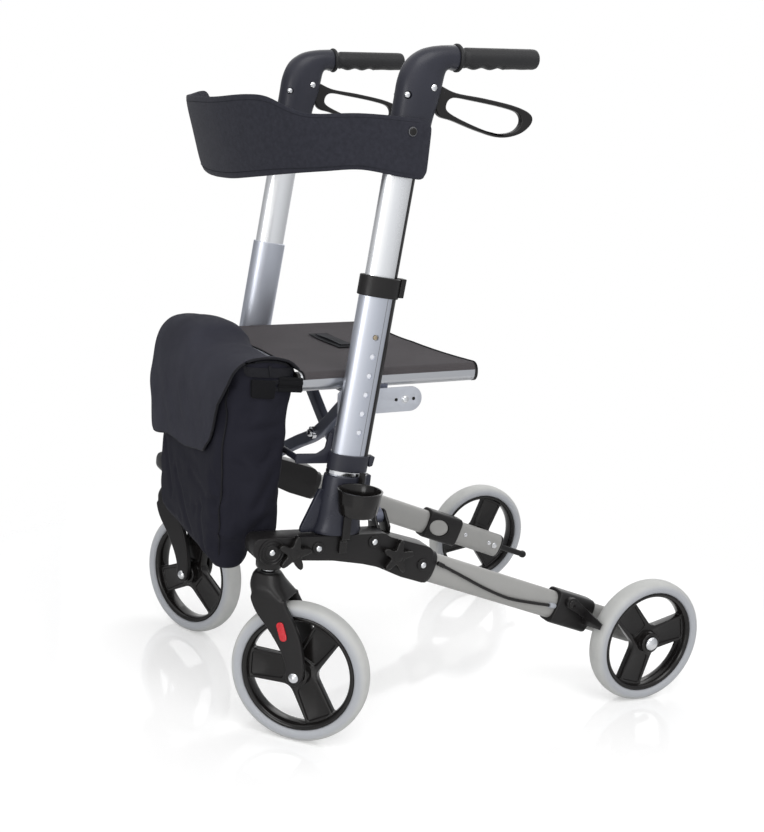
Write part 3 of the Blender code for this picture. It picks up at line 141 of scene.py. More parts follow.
def applied(piece, kind, **settings):
    """Adds a modifier with these settings and applies it."""
    modifier = piece.modifiers.new(kind.lower(), kind)
    for name, value in settings.items():
        setattr(modifier, name, value)
    only(piece)
    bpy.ops.object.modifier_apply(modifier=modifier.name)
    return piece


def soften(piece, width, segments=3, angle=35):
    """Rounds the edges that are sharper than the angle."""
    return applied(piece, "BEVEL", width=width, segments=segments, limit_method="ANGLE",
                   angle_limit=math.radians(angle), use_clamp_overlap=True)


def smooth(piece, angle):
    """Shades a piece smooth, except over edges sharper than the angle."""
    only(piece)
    bpy.ops.object.shade_smooth_by_angle(angle=math.radians(angle))
    return piece


# %% Curves and rings
def smooth_curve(points, steps, closed=False):
    """Points of a smooth curve through the given ones."""
    size = len(points)
    out = []
    for i in range(size if closed else size - 1):
        if closed:
            a, b, c, d = (points[(i + k) % size] for k in (-1, 0, 1, 2))
        else:
            a, b, c, d = points[max(i - 1, 0)], points[i], points[i + 1], points[min(i + 2, size - 1)]
        for k in range(steps):
            t = k / steps
            out.append(tuple(0.5 * (2 * q + (r - p) * t + (2 * p - 5 * q + 4 * r - w) * t * t
                                    + (3 * q - p - 3 * r + w) * t ** 3)
                             for p, q, r, w in zip(a, b, c, d)))
    if not closed:
        out.append(tuple(points[-1]))
    return out


def arc(centre, radius, start, end, count):
    """Points of a circular arc in a plane; angles in degrees."""
    angles = [math.radians(start + (end - start) * i / count) for i in range(count + 1)]
    return [(centre[0] + radius * math.cos(a), centre[1] + radius * math.sin(a)) for a in angles]


def across(direction):
    """Two unit vectors square to a direction."""
    n = direction.normalized()
    u = (Y - n * n.dot(Y)) if abs(n.dot(Y)) < 0.9 else (Z - n * n.dot(Z))
    u.normalize()
    return u, n.cross(u)


def oval(centre, u, v, half_u, half_v, count=64, power=2.0):
    """A ring of points; a power above 2 squares the oval."""
    ring = []
    for i in range(count):
        angle = 2 * math.pi * i / count
        c, s = math.cos(angle), math.sin(angle)
        ring.append(centre + u * half_u * math.copysign(abs(c) ** (2 / power), c)
                    + v * half_v * math.copysign(abs(s) ** (2 / power), s))
    return ring


def column_oval(z, long, wide, count=96):
    """An oval ring round the left column at a height."""
    u, v = across(COLUMN_WAY)
    return oval(column_at(z), u, v, long, wide, count)


# %% Rolled, filled and turned pieces
def rolled(rings, closed=False):
    """A grid rolled up so that each of its rows lies on a ring, with capped ends or closed to a torus."""
    rows = [list(map(Vector, ring)) for ring in rings] + ([list(map(Vector, rings[0]))] if closed else [])
    wide, high = len(rows[0]), len(rows)
    bpy.ops.mesh.primitive_grid_add(x_subdivisions=wide, y_subdivisions=high - 1)
    piece = bpy.context.object
    flat = [value for row in rows for point in row + [row[0]] for value in point]
    piece.data.vertices.foreach_set("co", flat)
    lengths = [0.0]
    for a, b in zip(rows, rows[1:]):
        lengths.append(lengths[-1] + max((b[k] - a[k]).length for k in (0, wide // 3, 2 * wide // 3)))
    girth = max(sum((row[k] - row[k - 1]).length for k in range(wide)) for row in rows)
    for corner in piece.data.uv_layers[0].data:
        u, v = corner.uv
        corner.uv = (u * girth, lengths[min(round(v * (high - 1)), high - 1)])
    edit(piece)
    bpy.ops.mesh.remove_doubles(threshold=1e-6)
    if not closed:
        bpy.ops.mesh.select_all(action="SELECT")
        bpy.ops.mesh.fill_holes(sides=0)
    bpy.ops.mesh.select_all(action="SELECT")
    bpy.ops.mesh.normals_make_consistent(inside=False)
    leave()
    return piece


def turned(profile, base, axis, count=48, closed=False):
    """Rings of (radius, distance along the axis) round a line."""
    u, v = across(axis)
    n = axis.normalized()
    return rolled([oval(base + n * h, u, v, max(r, 1e-7), max(r, 1e-7), count) for r, h in profile],
                  closed=closed)


def mirrored(half):
    """A whole profile from the half of it that lies beyond the middle."""
    return [(r, -h) for r, h in half] + half[::-1]


def slab(outline, plane, low, high):
    """An outline in the plane (origin, u, v, n), filled and extruded from depth low to depth high."""
    origin, u, v, n = plane
    bpy.ops.mesh.primitive_circle_add(vertices=len(outline), fill_type="NOTHING")
    piece = bpy.context.object
    for vertex, (a, b) in zip(piece.data.vertices, outline):
        vertex.co = origin + u * a + v * b + n * low
    edit(piece)
    bpy.ops.mesh.edge_face_add()
    bpy.ops.mesh.extrude_region_move(TRANSFORM_OT_translate={"value": n * (high - low)})
    bpy.ops.mesh.select_all(action="SELECT")
    bpy.ops.mesh.normals_make_consistent(inside=False)
    leave()
    return piece


def side_plane(x=0.0):
    """The left side's vertical plane: outlines in (y, z), depths outwards from x."""
    return (X * x, Y, Z, X)


def band(path, widths, round_ends):
    """The outline of a strip along a plane path; its start and its end may be round."""
    left, right = [], []
    for i, (x, y) in enumerate(path):
        before, after = path[max(i - 1, 0)], path[min(i + 1, len(path) - 1)]
        dx, dy = after[0] - before[0], after[1] - before[1]
        size = math.hypot(dx, dy)
        nx, ny = -dy / size * widths[i] / 2, dx / size * widths[i] / 2
        left.append((x + nx, y + ny))
        right.append((x - nx, y - ny))

    def cap(at, toward, width):
        heading = math.degrees(math.atan2(toward[1] - at[1], toward[0] - at[0]))
        return arc(at, width / 2, heading + 90, heading + 270, 12)[1:-1]

    start = cap(path[0], path[1], widths[0]) if round_ends[0] else []
    finish = cap(path[-1], path[-2], widths[-1]) if round_ends[1] else []
    return right + finish + left[::-1] + start


def cut(piece, *others):
    """Cuts other pieces out of one."""
    for other in others:
        applied(piece, "BOOLEAN", operation="DIFFERENCE", solver="EXACT", object=other)
        bpy.data.objects.remove(other, do_unlink=True)
    edit(piece)
    bpy.ops.mesh.remove_doubles(threshold=2e-6)
    bpy.ops.mesh.dissolve_degenerate(threshold=1e-6)
    leave()
    return piece


def together(piece, *others):
    """Several loose meshes as one object."""
    only(piece)
    for other in others:
        other.select_set(True)
    bpy.ops.object.join()
    return piece


# %% Copies, mirror images and the last step of every piece
MATERIALS = {}


def copied(piece, move):
    """A copy with its own mesh, moved by a matrix."""
    twin = piece.copy()
    twin.data = piece.data.copy()
    bpy.context.scene.collection.objects.link(twin)
    twin.data.transform(move)
    if move.determinant() < 0:
        edit(twin)
        bpy.ops.mesh.flip_normals()
        leave()
    return twin


MIRROR = Matrix.Scale(-1, 4, X)


def done(piece, name, body, finish, nodes=(), placed=False):
    """Names a piece, gives it its finish, puts it in the frame and has it ride on its body, if it has one."""
    piece.name = piece.data.name = name
    if not placed:
        piece.data.transform(Matrix.Translation(LAYOUT))
    piece.data.materials.clear()
    piece.data.materials.append(MATERIALS[finish])
    if body:
        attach(piece, body)
    if nodes:
        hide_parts(*nodes)
    return piece


def both_sides(piece, name, body, finish, nodes=()):
    """The piece on the left and its mirror image on the right; names and bodies start with the side."""
    twin = copied(piece, MIRROR)
    for side, half in (("left", piece), ("right", twin)):
        done(half, f"{side}_{name}", f"{side}_{body}", finish, [f"{side}_{node}" for node in nodes])


# %% [markdown]
# ## Finishes
# A finish is a Principled BSDF with a little life in it. The real mouldings have a fine spark
# texture, the tubes have drawing marks along their length, and the cloths have threads. Three
# effects are shared, so each is a node group: grain (a fine noise for bumps), drift (slow changes
# of tone) and weave (threads that cross, from the UV map in metres, and the gaps between them,
# where the cloths get painted shade).

# %% Node groups
def new_group(name, inputs, outputs):
    """A shader node group with its sockets; returns the tree, its input node and its output node."""
    tree = bpy.data.node_groups.new(name, "ShaderNodeTree")
    for label, kind, value in inputs:
        socket = tree.interface.new_socket(name=label, in_out="INPUT", socket_type=kind)
        if value is not None:
            socket.default_value = value
    for label, kind in outputs:
        tree.interface.new_socket(name=label, in_out="OUTPUT", socket_type=kind)
    return tree, tree.nodes.new("NodeGroupInput"), tree.nodes.new("NodeGroupOutput")


def math_node(tree, operation, *values):
    """A math node on numbers or other nodes' outputs."""
    node = tree.nodes.new("ShaderNodeMath")
    node.operation = operation
    for socket, value in zip(node.inputs, values):
        if isinstance(value, bpy.types.NodeSocket):
            tree.links.new(value, socket)
        else:
            socket.default_value = value
    return node.outputs[0]


def noise_node(tree, given, detail, roughness):
    """A noise texture on the group's own vector and scale."""
    node = tree.nodes.new("ShaderNodeTexNoise")
    node.inputs["Detail"].default_value = detail
    node.inputs["Roughness"].default_value = roughness
    for socket in ("Scale", "Vector"):
        tree.links.new(given.outputs[socket], node.inputs[socket])
    return node.outputs["Fac"]


def make_grain():
    """A fine noise for bumps."""
    tree, given, out = new_group(
        "grain", [("Vector", "NodeSocketVector", None), ("Scale", "NodeSocketFloat", 900.0)],
        [("Height", "NodeSocketFloat")])
    fine = noise_node(tree, given, 3.0, 0.6)
    tree.links.new(fine, out.inputs["Height"])
    return tree


def make_drift():
    """A slow noise that swings round a middle value."""
    tree, given, out = new_group(
        "drift", [("Vector", "NodeSocketVector", None), ("Scale", "NodeSocketFloat", 18.0),
                  ("Middle", "NodeSocketFloat", 0.4), ("Spread", "NodeSocketFloat", 0.1)],
        [("Value", "NodeSocketFloat")])
    slow = noise_node(tree, given, 4.0, 0.55)
    swing = math_node(tree, "MULTIPLY", math_node(tree, "SUBTRACT", slow, 0.5), given.outputs["Spread"])
    swing = math_node(tree, "MULTIPLY", swing, 4.0)
    tree.links.new(math_node(tree, "ADD", swing, given.outputs["Middle"]), out.inputs["Value"])
    return tree


def make_weave():
    """Threads that cross over and under, and a mask of the gaps between them, where painted shade goes."""
    tree, given, out = new_group(
        "weave", [("UV", "NodeSocketVector", None), ("Threads", "NodeSocketFloat", 700.0)],
        [("Height", "NodeSocketFloat"), ("Gap", "NodeSocketFloat")])
    split = tree.nodes.new("ShaderNodeSeparateXYZ")
    tree.links.new(given.outputs["UV"], split.inputs[0])
    warps, wefts = (math_node(tree, "MULTIPLY", split.outputs[k], given.outputs["Threads"]) for k in (0, 1))

    def rounded_thread(value):
        """The height of a round thread across its width, from 0 at its edges to 1."""
        wave = math_node(tree, "SINE", math_node(tree, "MULTIPLY", math_node(tree, "FRACT", value), math.pi))
        return math_node(tree, "POWER", math_node(tree, "MAXIMUM", wave, 0.0001), 0.5)

    cell = math_node(tree, "ADD", math_node(tree, "FLOOR", warps), math_node(tree, "FLOOR", wefts))
    over = math_node(tree, "PINGPONG", cell, 1.0)
    warp = math_node(tree, "MULTIPLY", rounded_thread(warps), math_node(tree, "ADD", math_node(
        tree, "MULTIPLY", over, 0.6), 0.4))
    weft = math_node(tree, "MULTIPLY", rounded_thread(wefts), math_node(tree, "SUBTRACT", 1.0, math_node(
        tree, "MULTIPLY", over, 0.6)))
    height = math_node(tree, "MAXIMUM", warp, weft)
    tree.links.new(height, out.inputs["Height"])
    # Where the threads run low: the cloth finish paints shade there.
    tree.links.new(math_node(tree, "GREATER_THAN", 0.42, height), out.inputs["Gap"])
    return tree


GRAIN, DRIFT, WEAVE = make_grain(), make_drift(), make_weave()
print("node groups", GRAIN.name, DRIFT.name, WEAVE.name)

# %% A finish with grain and drift
def new_finish(name):
    """A new material, noted under its name with its slot."""
    made = bpy.data.materials.new(name)
    made.use_nodes = True
    MATERIALS[name] = made
    tree = made.node_tree
    return tree, tree.nodes["Principled BSDF"], tree.nodes.new("ShaderNodeTexCoord")


def grouped(tree, group, vector, **values):
    """One of the shared groups, with these values in its sockets."""
    node = tree.nodes.new("ShaderNodeGroup")
    node.node_tree = group
    tree.links.new(vector, node.inputs[0])
    for name, value in values.items():
        node.inputs[name].default_value = value
    return node


def bumped(tree, shader, height, strength, distance):
    """Turns a height into a bump on the shader."""
    bump = tree.nodes.new("ShaderNodeBump")
    bump.inputs["Strength"].default_value = strength
    bump.inputs["Distance"].default_value = distance
    tree.links.new(height, bump.inputs["Height"])
    tree.links.new(bump.outputs["Normal"], shader.inputs["Normal"])


def mixed(tree, factor, dark, light):
    """Two tones mixed by a factor; a tone is a colour or another mix."""
    mix = tree.nodes.new("ShaderNodeMix")
    mix.data_type = "RGBA"
    tree.links.new(factor, mix.inputs["Factor"])
    for label, tone in (("A", dark), ("B", light)):
        if isinstance(tone, bpy.types.NodeSocket):
            tree.links.new(tone, mix.inputs[label])
        else:
            mix.inputs[label].default_value = (*tone, 1)
    return mix.outputs["Result"]


def solid_finish(name, dark, light, roughness, metallic=0.0, grain=900.0, bump=0.1,
                 depth=0.0002, stretch=(1, 1, 1), drift=18.0, spread=0.06, coat=0.0, specular=0.5):
    """A hard surface: tone and roughness drift a little, and a fine grain makes its bump."""
    tree, shader, coordinates = new_finish(name)
    mapping = tree.nodes.new("ShaderNodeMapping")
    mapping.inputs["Scale"].default_value = stretch
    tree.links.new(coordinates.outputs["Object"], mapping.inputs["Vector"])
    tone = grouped(tree, DRIFT, mapping.outputs[0], Scale=drift, Middle=0.5, Spread=0.25)
    tree.links.new(mixed(tree, tone.outputs["Value"], dark, light), shader.inputs["Base Color"])
    rough = grouped(tree, DRIFT, mapping.outputs[0], Scale=drift * 2.3, Middle=roughness, Spread=spread)
    tree.links.new(rough.outputs["Value"], shader.inputs["Roughness"])
    fine = grouped(tree, GRAIN, mapping.outputs[0], Scale=grain)
    bumped(tree, shader, fine.outputs["Height"], bump, depth)
    shader.inputs["Metallic"].default_value = metallic
    shader.inputs["Coat Weight"].default_value = coat
    shader.inputs["Coat Roughness"].default_value = 0.12
    shader.inputs["Specular IOR Level"].default_value = specular
    return shader


DRAWN = (9, 9, 0.6)   # grain drawn out along the height of a column
solid_finish("satin_aluminium", (0.56, 0.585, 0.65), (0.62, 0.645, 0.71), 0.36,
             0.95, 160, 0.02, spread=0.015, stretch=DRAWN, drift=3)
solid_finish("bright_aluminium", (0.88, 0.89, 0.91), (0.94, 0.95, 0.96), 0.28,
             0.95, 160, 0.02, spread=0.015, stretch=DRAWN, drift=3)
solid_finish("rail_aluminium", (0.49, 0.50, 0.525), (0.55, 0.56, 0.58), 0.30,
             0.95, 160, 0.02, spread=0.015, stretch=(9, 0.6, 9), drift=3)
solid_finish("cast_aluminium", (0.50, 0.52, 0.57), (0.58, 0.60, 0.65), 0.42,
             0.6, 700, 0.12, drift=40)
solid_finish("grey_paint", (0.345, 0.342, 0.332), (0.40, 0.397, 0.385), 0.42, 0.2, 1200, 0.08)
solid_finish("arm_paint", (0.120, 0.130, 0.175), (0.160, 0.172, 0.225), 0.42, 0.3, 1200, 0.08)
solid_finish("black_plastic", (0.0105, 0.0098, 0.0100), (0.0170, 0.0158, 0.0162), 0.34,
             0.0, 1500, 0.15, 0.00012, specular=0.28)
solid_finish("socket_cast", (0.018, 0.019, 0.029), (0.030, 0.032, 0.047), 0.30,
             0.15, 1500, 0.12, 0.00012, specular=0.4)
solid_finish("housing_plastic", (0.018, 0.019, 0.028), (0.031, 0.032, 0.046), 0.34,
             0.0, 1500, 0.18, 0.00012, specular=0.35)
solid_finish("gloss_black", (0.0070, 0.0062, 0.0060), (0.0110, 0.0098, 0.0095), 0.17,
             0.0, 900, 0.04, coat=0.1, specular=0.32)
solid_finish("chrome", (0.72, 0.73, 0.75), (0.80, 0.81, 0.83), 0.10, 1.0, 500, 0.02)
solid_finish("brass", (0.44, 0.36, 0.25), (0.53, 0.44, 0.31), 0.32, 1.0, 500, 0.05)
solid_finish("grip_rubber", (0.011, 0.011, 0.012), (0.019, 0.019, 0.021), 0.52,
             0.0, 1100, 0.35, 0.0002, specular=0.4)
solid_finish("dark_steel", (0.16, 0.16, 0.17), (0.24, 0.24, 0.25), 0.32, 0.9, 700, 0.08)
solid_finish("liner_white", (0.74, 0.76, 0.82), (0.84, 0.86, 0.90), 0.35, 0.1, 900, 0.05)
print(len(MATERIALS), "hard finishes")

# %% [markdown]
# ### Tyres
# The tyres are solid grey polyurethane. Their sides are smooth and a little blue, and the tread is
# paler and warmer with a faint cloudy pattern, as moulded foam has. Which of the two a point gets
# is written in the tyre's mesh, as an attribute that grows with the distance to the wheel's axle.

# %% Tyre finish
def tyre_finish():
    """Bluish sides and a paler, cloudy tread."""
    tree, shader, coordinates = new_finish("grey_tyre")
    mark = tree.nodes.new("ShaderNodeAttribute")
    mark.attribute_name = "tread"
    cloud = grouped(tree, DRIFT, coordinates.outputs["Object"], Scale=45.0, Middle=0.5, Spread=0.3)
    tread = mixed(tree, cloud.outputs["Value"], (0.50, 0.505, 0.495), (0.60, 0.605, 0.59))
    tone = mixed(tree, mark.outputs["Fac"], (0.44, 0.455, 0.485), tread)
    tree.links.new(tone, shader.inputs["Base Color"])
    rough = grouped(tree, DRIFT, coordinates.outputs["Object"], Scale=30.0, Middle=0.55, Spread=0.08)
    tree.links.new(rough.outputs["Value"], shader.inputs["Roughness"])
    fine = grouped(tree, GRAIN, coordinates.outputs["Object"], Scale=500.0)
    bumped(tree, shader, fine.outputs["Height"], 0.15, 0.0003)


tyre_finish()

# %% [markdown]
# ### Cloths
# The seat is a coarse warm-grey mesh, and the bag and its webbing are close-woven nylon with a
# bluish tone. Threads are counted per metre of UV, and the gaps between them are painted darker, as
# shade in the hollows of the weave. The strap is a brushed knit over foam, too fine for threads, so it
# has the finish of a hard surface with a deep grain and a little fuzz.

# %% Cloth finishes
def cloth_finish(name, dark, light, gap_shade, threads, roughness, bump, depth, sheen, specular):
    """A woven surface, with painted shade in the gaps between its threads, and a fuzz over them."""
    tree, shader, coordinates = new_finish(name)
    weave = grouped(tree, WEAVE, coordinates.outputs["UV"], Threads=threads)
    tone = grouped(tree, DRIFT, coordinates.outputs["Object"], Scale=14.0, Middle=0.5, Spread=0.35)
    threads_tone = mixed(tree, tone.outputs["Value"], dark, light)
    # The gaps take the darker colour: painted shade in the hollows of the weave.
    tree.links.new(mixed(tree, weave.outputs["Gap"], threads_tone, gap_shade), shader.inputs["Base Color"])
    fuzz = grouped(tree, GRAIN, coordinates.outputs["Object"], Scale=1800.0)
    height = math_node(tree, "ADD", weave.outputs["Height"], math_node(
        tree, "MULTIPLY", fuzz.outputs["Height"], 0.5))
    bumped(tree, shader, height, bump, depth)
    shader.inputs["Roughness"].default_value = roughness
    shader.inputs["Specular IOR Level"].default_value = specular
    shader.inputs["Sheen Weight"].default_value = sheen
    shader.inputs["Sheen Roughness"].default_value = 0.45
    shader.inputs["Sheen Tint"].default_value = (0.75, 0.78, 0.95, 1)


cloth_finish("seat_mesh", (0.072, 0.065, 0.068), (0.092, 0.084, 0.088), (0.026, 0.024, 0.026),
             420.0, 0.86, 0.6, 0.0006, 0.03, 0.15)
cloth_finish("seat_border", (0.010, 0.010, 0.011), (0.018, 0.018, 0.020), (0.004, 0.004, 0.004),
             900.0, 0.8, 0.5, 0.0003, 0.03, 0.15)
cloth_finish("bag_nylon", (0.031, 0.0315, 0.042), (0.053, 0.0535, 0.069),
             (0.018, 0.018, 0.026), 1300.0, 0.70, 0.45, 0.0003, 0.0, 0.05)
cloth_finish("webbing", (0.009, 0.009, 0.011), (0.017, 0.017, 0.021), (0.004, 0.004, 0.005),
             650.0, 0.7, 0.7, 0.0005, 0.04, 0.15)
fuzz = solid_finish("strap_foam", (0.018, 0.0185, 0.025), (0.038, 0.039, 0.052), 0.86,
                    0.0, 1500, 0.55, 0.0005, drift=170, specular=0.12)
fuzz.inputs["Sheen Weight"].default_value = 0.06
solid_finish("thread", (0.016, 0.017, 0.022), (0.022, 0.023, 0.030), 0.7, specular=0.1)


def reflector_finish():
    """Clear red plastic over a field of small pyramids, with painted shade in their pits and painted light on
    their ridges.
    """
    tree, shader, coordinates = new_finish("red_reflector")
    cells = tree.nodes.new("ShaderNodeTexVoronoi")
    cells.inputs["Scale"].default_value = 650.0
    tree.links.new(coordinates.outputs["Object"], cells.inputs["Vector"])
    # The colour follows the same cells as the bump: darker in the pits and lighter on the ridges, as painted
    # shade and light.
    tone = mixed(tree, cells.outputs["Distance"], (0.50, 0.006, 0.014), (0.66, 0.014, 0.026))
    tree.links.new(tone, shader.inputs["Base Color"])
    bumped(tree, shader, cells.outputs["Distance"], 0.35, 0.0006)
    shader.inputs["Roughness"].default_value = 0.22
    shader.inputs["Coat Weight"].default_value = 0.35
    shader.inputs["Coat Roughness"].default_value = 0.05


reflector_finish()
print(len(MATERIALS), "finishes in all")

# %% [markdown]
# ## Wheels
# Each wheel is a solid tyre on a moulded rim with three wide spokes. The tyre is turned from its
# section, a nearly round one that covers the edge of the rim. The rim is a turned ring and hub with
# a plate between them, out of which three rounded windows and a shallow channel in each spoke are
# cut, as the mould does it. The wheel is made once, with its axle along X, and copied four times.

# %% The tyre
half_tyre = [(0.0822, 0.0100), (0.0824, 0.0124), (0.0833, 0.0141), (0.0850, 0.0154), (0.0875, 0.0163),
             (0.0905, 0.0166), (0.0932, 0.0160), (0.0955, 0.0146), (0.0973, 0.0125), (0.0986, 0.0098),
             (0.0994, 0.0068), (0.0999, 0.0036)]
TREAD_FROM, TREAD_FADE = 0.0905, 0.007
tyre_master = turned(mirrored(half_tyre), Vector(), X, 112, closed=True)
layer = tyre_master.data.attributes.new("tread", "FLOAT", "POINT")
layer.data.foreach_set("value", [min(max((math.hypot(v.co.y, v.co.z) - TREAD_FROM) / TREAD_FADE, 0.0), 1.0)
                                 for v in tyre_master.data.vertices])
smooth(tyre_master, 50)
print("tyre", len(tyre_master.data.polygons), "faces")


# %% The rim
def rounded(points, reach, steps=5):
    """A polygon with its corners rounded; each curve starts so far from its corner."""
    out = []
    reaches = reach if isinstance(reach, list) else [reach] * len(points)
    for i, point in enumerate(points):
        corner, before, after = (Vector(q) for q in (point, points[i - 1], points[(i + 1) % len(points)]))
        far = min(reaches[i], (before - corner).length * 0.48, (after - corner).length * 0.48)
        if far < 1e-5:
            out.append(tuple(corner))
            continue
        start = corner + (before - corner).normalized() * far
        end = corner + (after - corner).normalized() * far
        for k in range(steps + 1):
            t = k / steps
            out.append(tuple(start * (1 - t) ** 2 + corner * 2 * t * (1 - t) + end * t * t))
    return out


def moulded(outline, corner, plane, low, high, edge, segments=3):
    """A slab with rounded corners and softened edges."""
    return soften(slab(rounded(outline, corner), plane, low, high), edge, segments, 50)


def polar(radius, angle):
    """A point of a circle round the origin."""
    return (radius * math.cos(angle), radius * math.sin(angle))


def beside(axis, reach, offset):
    """A point so far along a spoke and so far to its side."""
    c, s = math.cos(axis), math.sin(axis)
    return (reach * c - offset * s, reach * s + offset * c)


WINDOW_RADIUS = 0.0742
WHEEL_PLANE = (Vector(), Y, Z, X)


def rim_window(middle):
    """The opening between two spokes, round the direction of its middle."""
    first, last = beside(middle - math.pi / 3, 0.0710, 0.0214), beside(middle + math.pi / 3, 0.0710, -0.0214)
    a = math.atan2(first[1], first[0])
    sweep = (math.atan2(last[1], last[0]) - a) % (2 * math.pi)
    rim_side = [polar(WINDOW_RADIUS, a + sweep * k / 14) for k in range(1, 14)]
    outline = [polar(0.0232, middle), first] + rim_side + [last]
    return slab(rounded(outline, [0.011, 0.006] + [0] * 13 + [0.006]), WHEEL_PLANE, -0.02, 0.02)


def spoke_channel(axis, low, high):
    """The shallow channel along a spoke."""
    outline = [beside(axis, 0.0225, -0.0132), beside(axis, 0.0700, -0.0176),
               beside(axis, 0.0700, 0.0176), beside(axis, 0.0225, 0.0132)]
    return slab(rounded(outline, 0.005), WHEEL_PLANE, low, high)


SPOKE_AXES = [math.radians(a) for a in (60, 180, 300)]
web = slab([polar(0.0790, math.radians(3 * k)) for k in range(120)], WHEEL_PLANE, -0.0065, 0.0065)
cut(web, *[rim_window(a + math.pi / 3) for a in SPOKE_AXES])
cut(web, *[spoke_channel(a, 0.0035, 0.02) for a in SPOKE_AXES])
cut(web, *[spoke_channel(a, -0.02, -0.0045) for a in SPOKE_AXES])
soften(web, 0.0014, 3)
half_ring = [(0.0824, 0.0096), (0.0822, 0.0122), (0.0816, 0.0133), (0.0803, 0.0138), (0.0786, 0.0136),
             (0.0767, 0.0124), (0.0750, 0.0096), (0.0740, 0.0060), (0.0736, 0.0025)]
ring = turned(mirrored(half_ring), Vector(), X, 112, closed=True)
hub_half = [(0.0062, 0.0180), (0.0080, 0.0180), (0.0086, 0.0185), (0.0150, 0.0185), (0.0163, 0.0180),
            (0.0170, 0.0168), (0.0174, 0.0100), (0.0190, 0.0052), (0.0205, 0.0040)]
hub = turned(mirrored(hub_half), Vector(), X, 72)
rim_master = smooth(together(web, ring, hub), 40)
print("rim", len(rim_master.data.polygons), "faces")


# %% Four wheels in their places
def fork_frame(name):
    """The plane of a fork: a point under its stem, then behind it, up, and along the wheel's axle."""
    side, swivel = SIDES[name], math.radians({"left": 43, "right": 66}[name])
    back = Vector((math.sin(swivel), math.cos(swivel), 0))
    return Vector((side * SIDE_X, STEM_Y, 0)), back, Z, Vector((back.y, -back.x, 0)) * side


def wheel_place(hub, axle, turn):
    """The matrix that puts a wheel on its hub, turned round its axle."""
    u, v = across(axle)
    place = Matrix((axle.normalized(), u, v)).transposed().to_4x4()
    place.translation = hub
    return place @ Matrix.Rotation(turn, 4, X)


def fork_place(name):
    """The matrix that puts a fork under its stem."""
    foot, back, up, out = fork_frame(name)
    place = Matrix((out, back, up)).transposed().to_4x4()
    place.translation = foot
    return place


for name, side in SIDES.items():
    foot, back, up, out = fork_frame(name)
    axle_at = foot + back * TRAIL + up * WHEEL_RADIUS
    front = wheel_place(axle_at, out, math.radians({"left": 1, "right": 63}[name]))
    rear_turn = math.radians({"left": 74, "right": 10}[name])
    rear = wheel_place(Vector((side * REAR_TRACK / 2, 0, WHEEL_RADIUS)), X * side, side * rear_turn)
    for end, place in (("front", front), ("rear", rear)):
        wheel = f"{name}_{end}_wheel"
        for master, label, finish in ((tyre_master, "tyre", "grey_tyre"), (rim_master, "rim", "gloss_black")):
            done(copied(master, place), f"{wheel}_{label}", wheel, finish, [f"{name}_{end}_{label}"])
for master in (tyre_master, rim_master):
    bpy.data.objects.remove(master, do_unlink=True)
print("wheels placed")

# %% [markdown]
# ## Casters
# A caster's fork is moulded in one piece: a small crown under the stem that flows into two curved
# legs. Such a flowing form is hard to bridge face by face. So crown and legs are made as plain
# lofts and slabs that run into each other, a voxel remesh melts them into one skin, and smoothing
# rounds every edge as a mould would. Its axes are: x along the axle, y behind the stem, z up.

# %% The fork
LEG_INSIDE, LEG_OUTSIDE = 0.0200, 0.0290
leg_edge = [(-0.0128, 0.2062), (-0.0115, 0.1990), (-0.0030, 0.1840), (0.0120, 0.1680), (0.0265, 0.1510),
            (0.0400, 0.1320), (0.0480, 0.1140), (0.0487, 0.1000), (0.0523, 0.0912), (0.0610, 0.0876),
            (0.0697, 0.0912), (0.0735, 0.1010), (0.0740, 0.1150), (0.0712, 0.1330), (0.0650, 0.1550),
            (0.0562, 0.1730), (0.0470, 0.1880), (0.0400, 0.1990), (0.0372, 0.2062)]
leg_outline = smooth_curve(leg_edge, 4)


def crown_ring(z, long, wide, shift, power):
    """A ring of the crown at a height, shifted backwards."""
    return oval(Vector((0, shift, z)), Y, X, long, wide, 64, power)


crown = rolled([crown_ring(*row) for row in (
    (0.2352, 0.0160, 0.0160, 0.0, 2.4), (0.2340, 0.0180, 0.0182, 0.0, 2.4),
    (0.2300, 0.0200, 0.0212, 0.0, 2.6), (0.2225, 0.0222, 0.0262, 0.0015, 3.0),
    (0.2170, 0.0236, 0.0284, 0.0040, 3.6), (0.2090, 0.0252, 0.0292, 0.0098, 5.0),
    (0.2030, 0.0258, 0.0292, 0.0130, 6.0))])
legs = [slab(leg_outline, WHEEL_PLANE, low, high) for low, high in ((LEG_INSIDE, LEG_OUTSIDE),
                                                                  (-LEG_OUTSIDE, -LEG_INSIDE))]
fork_master = together(crown, *legs)
applied(fork_master, "REMESH", mode="VOXEL", voxel_size=0.0011)
applied(fork_master, "SMOOTH", factor=0.6, iterations=9)
blend = fork_master.vertex_groups.new(name="blend")
for vertex in fork_master.data.vertices:
    share = min(max((vertex.co.z - 0.180) / 0.022, 0), 1) * min(max((0.231 - vertex.co.z) / 0.008, 0), 1)
    blend.add([vertex.index], share, "REPLACE")
applied(fork_master, "SMOOTH", factor=0.6, iterations=16, vertex_group="blend")
stem = turned([(0.0080, 0.230), (0.0080, 0.2785), (0.0074, 0.2790)], Vector(), Z, 32)
fork_master = together(fork_master, stem)
only(fork_master)
bpy.ops.object.shade_smooth()
print("fork", len(fork_master.data.polygons), "faces")

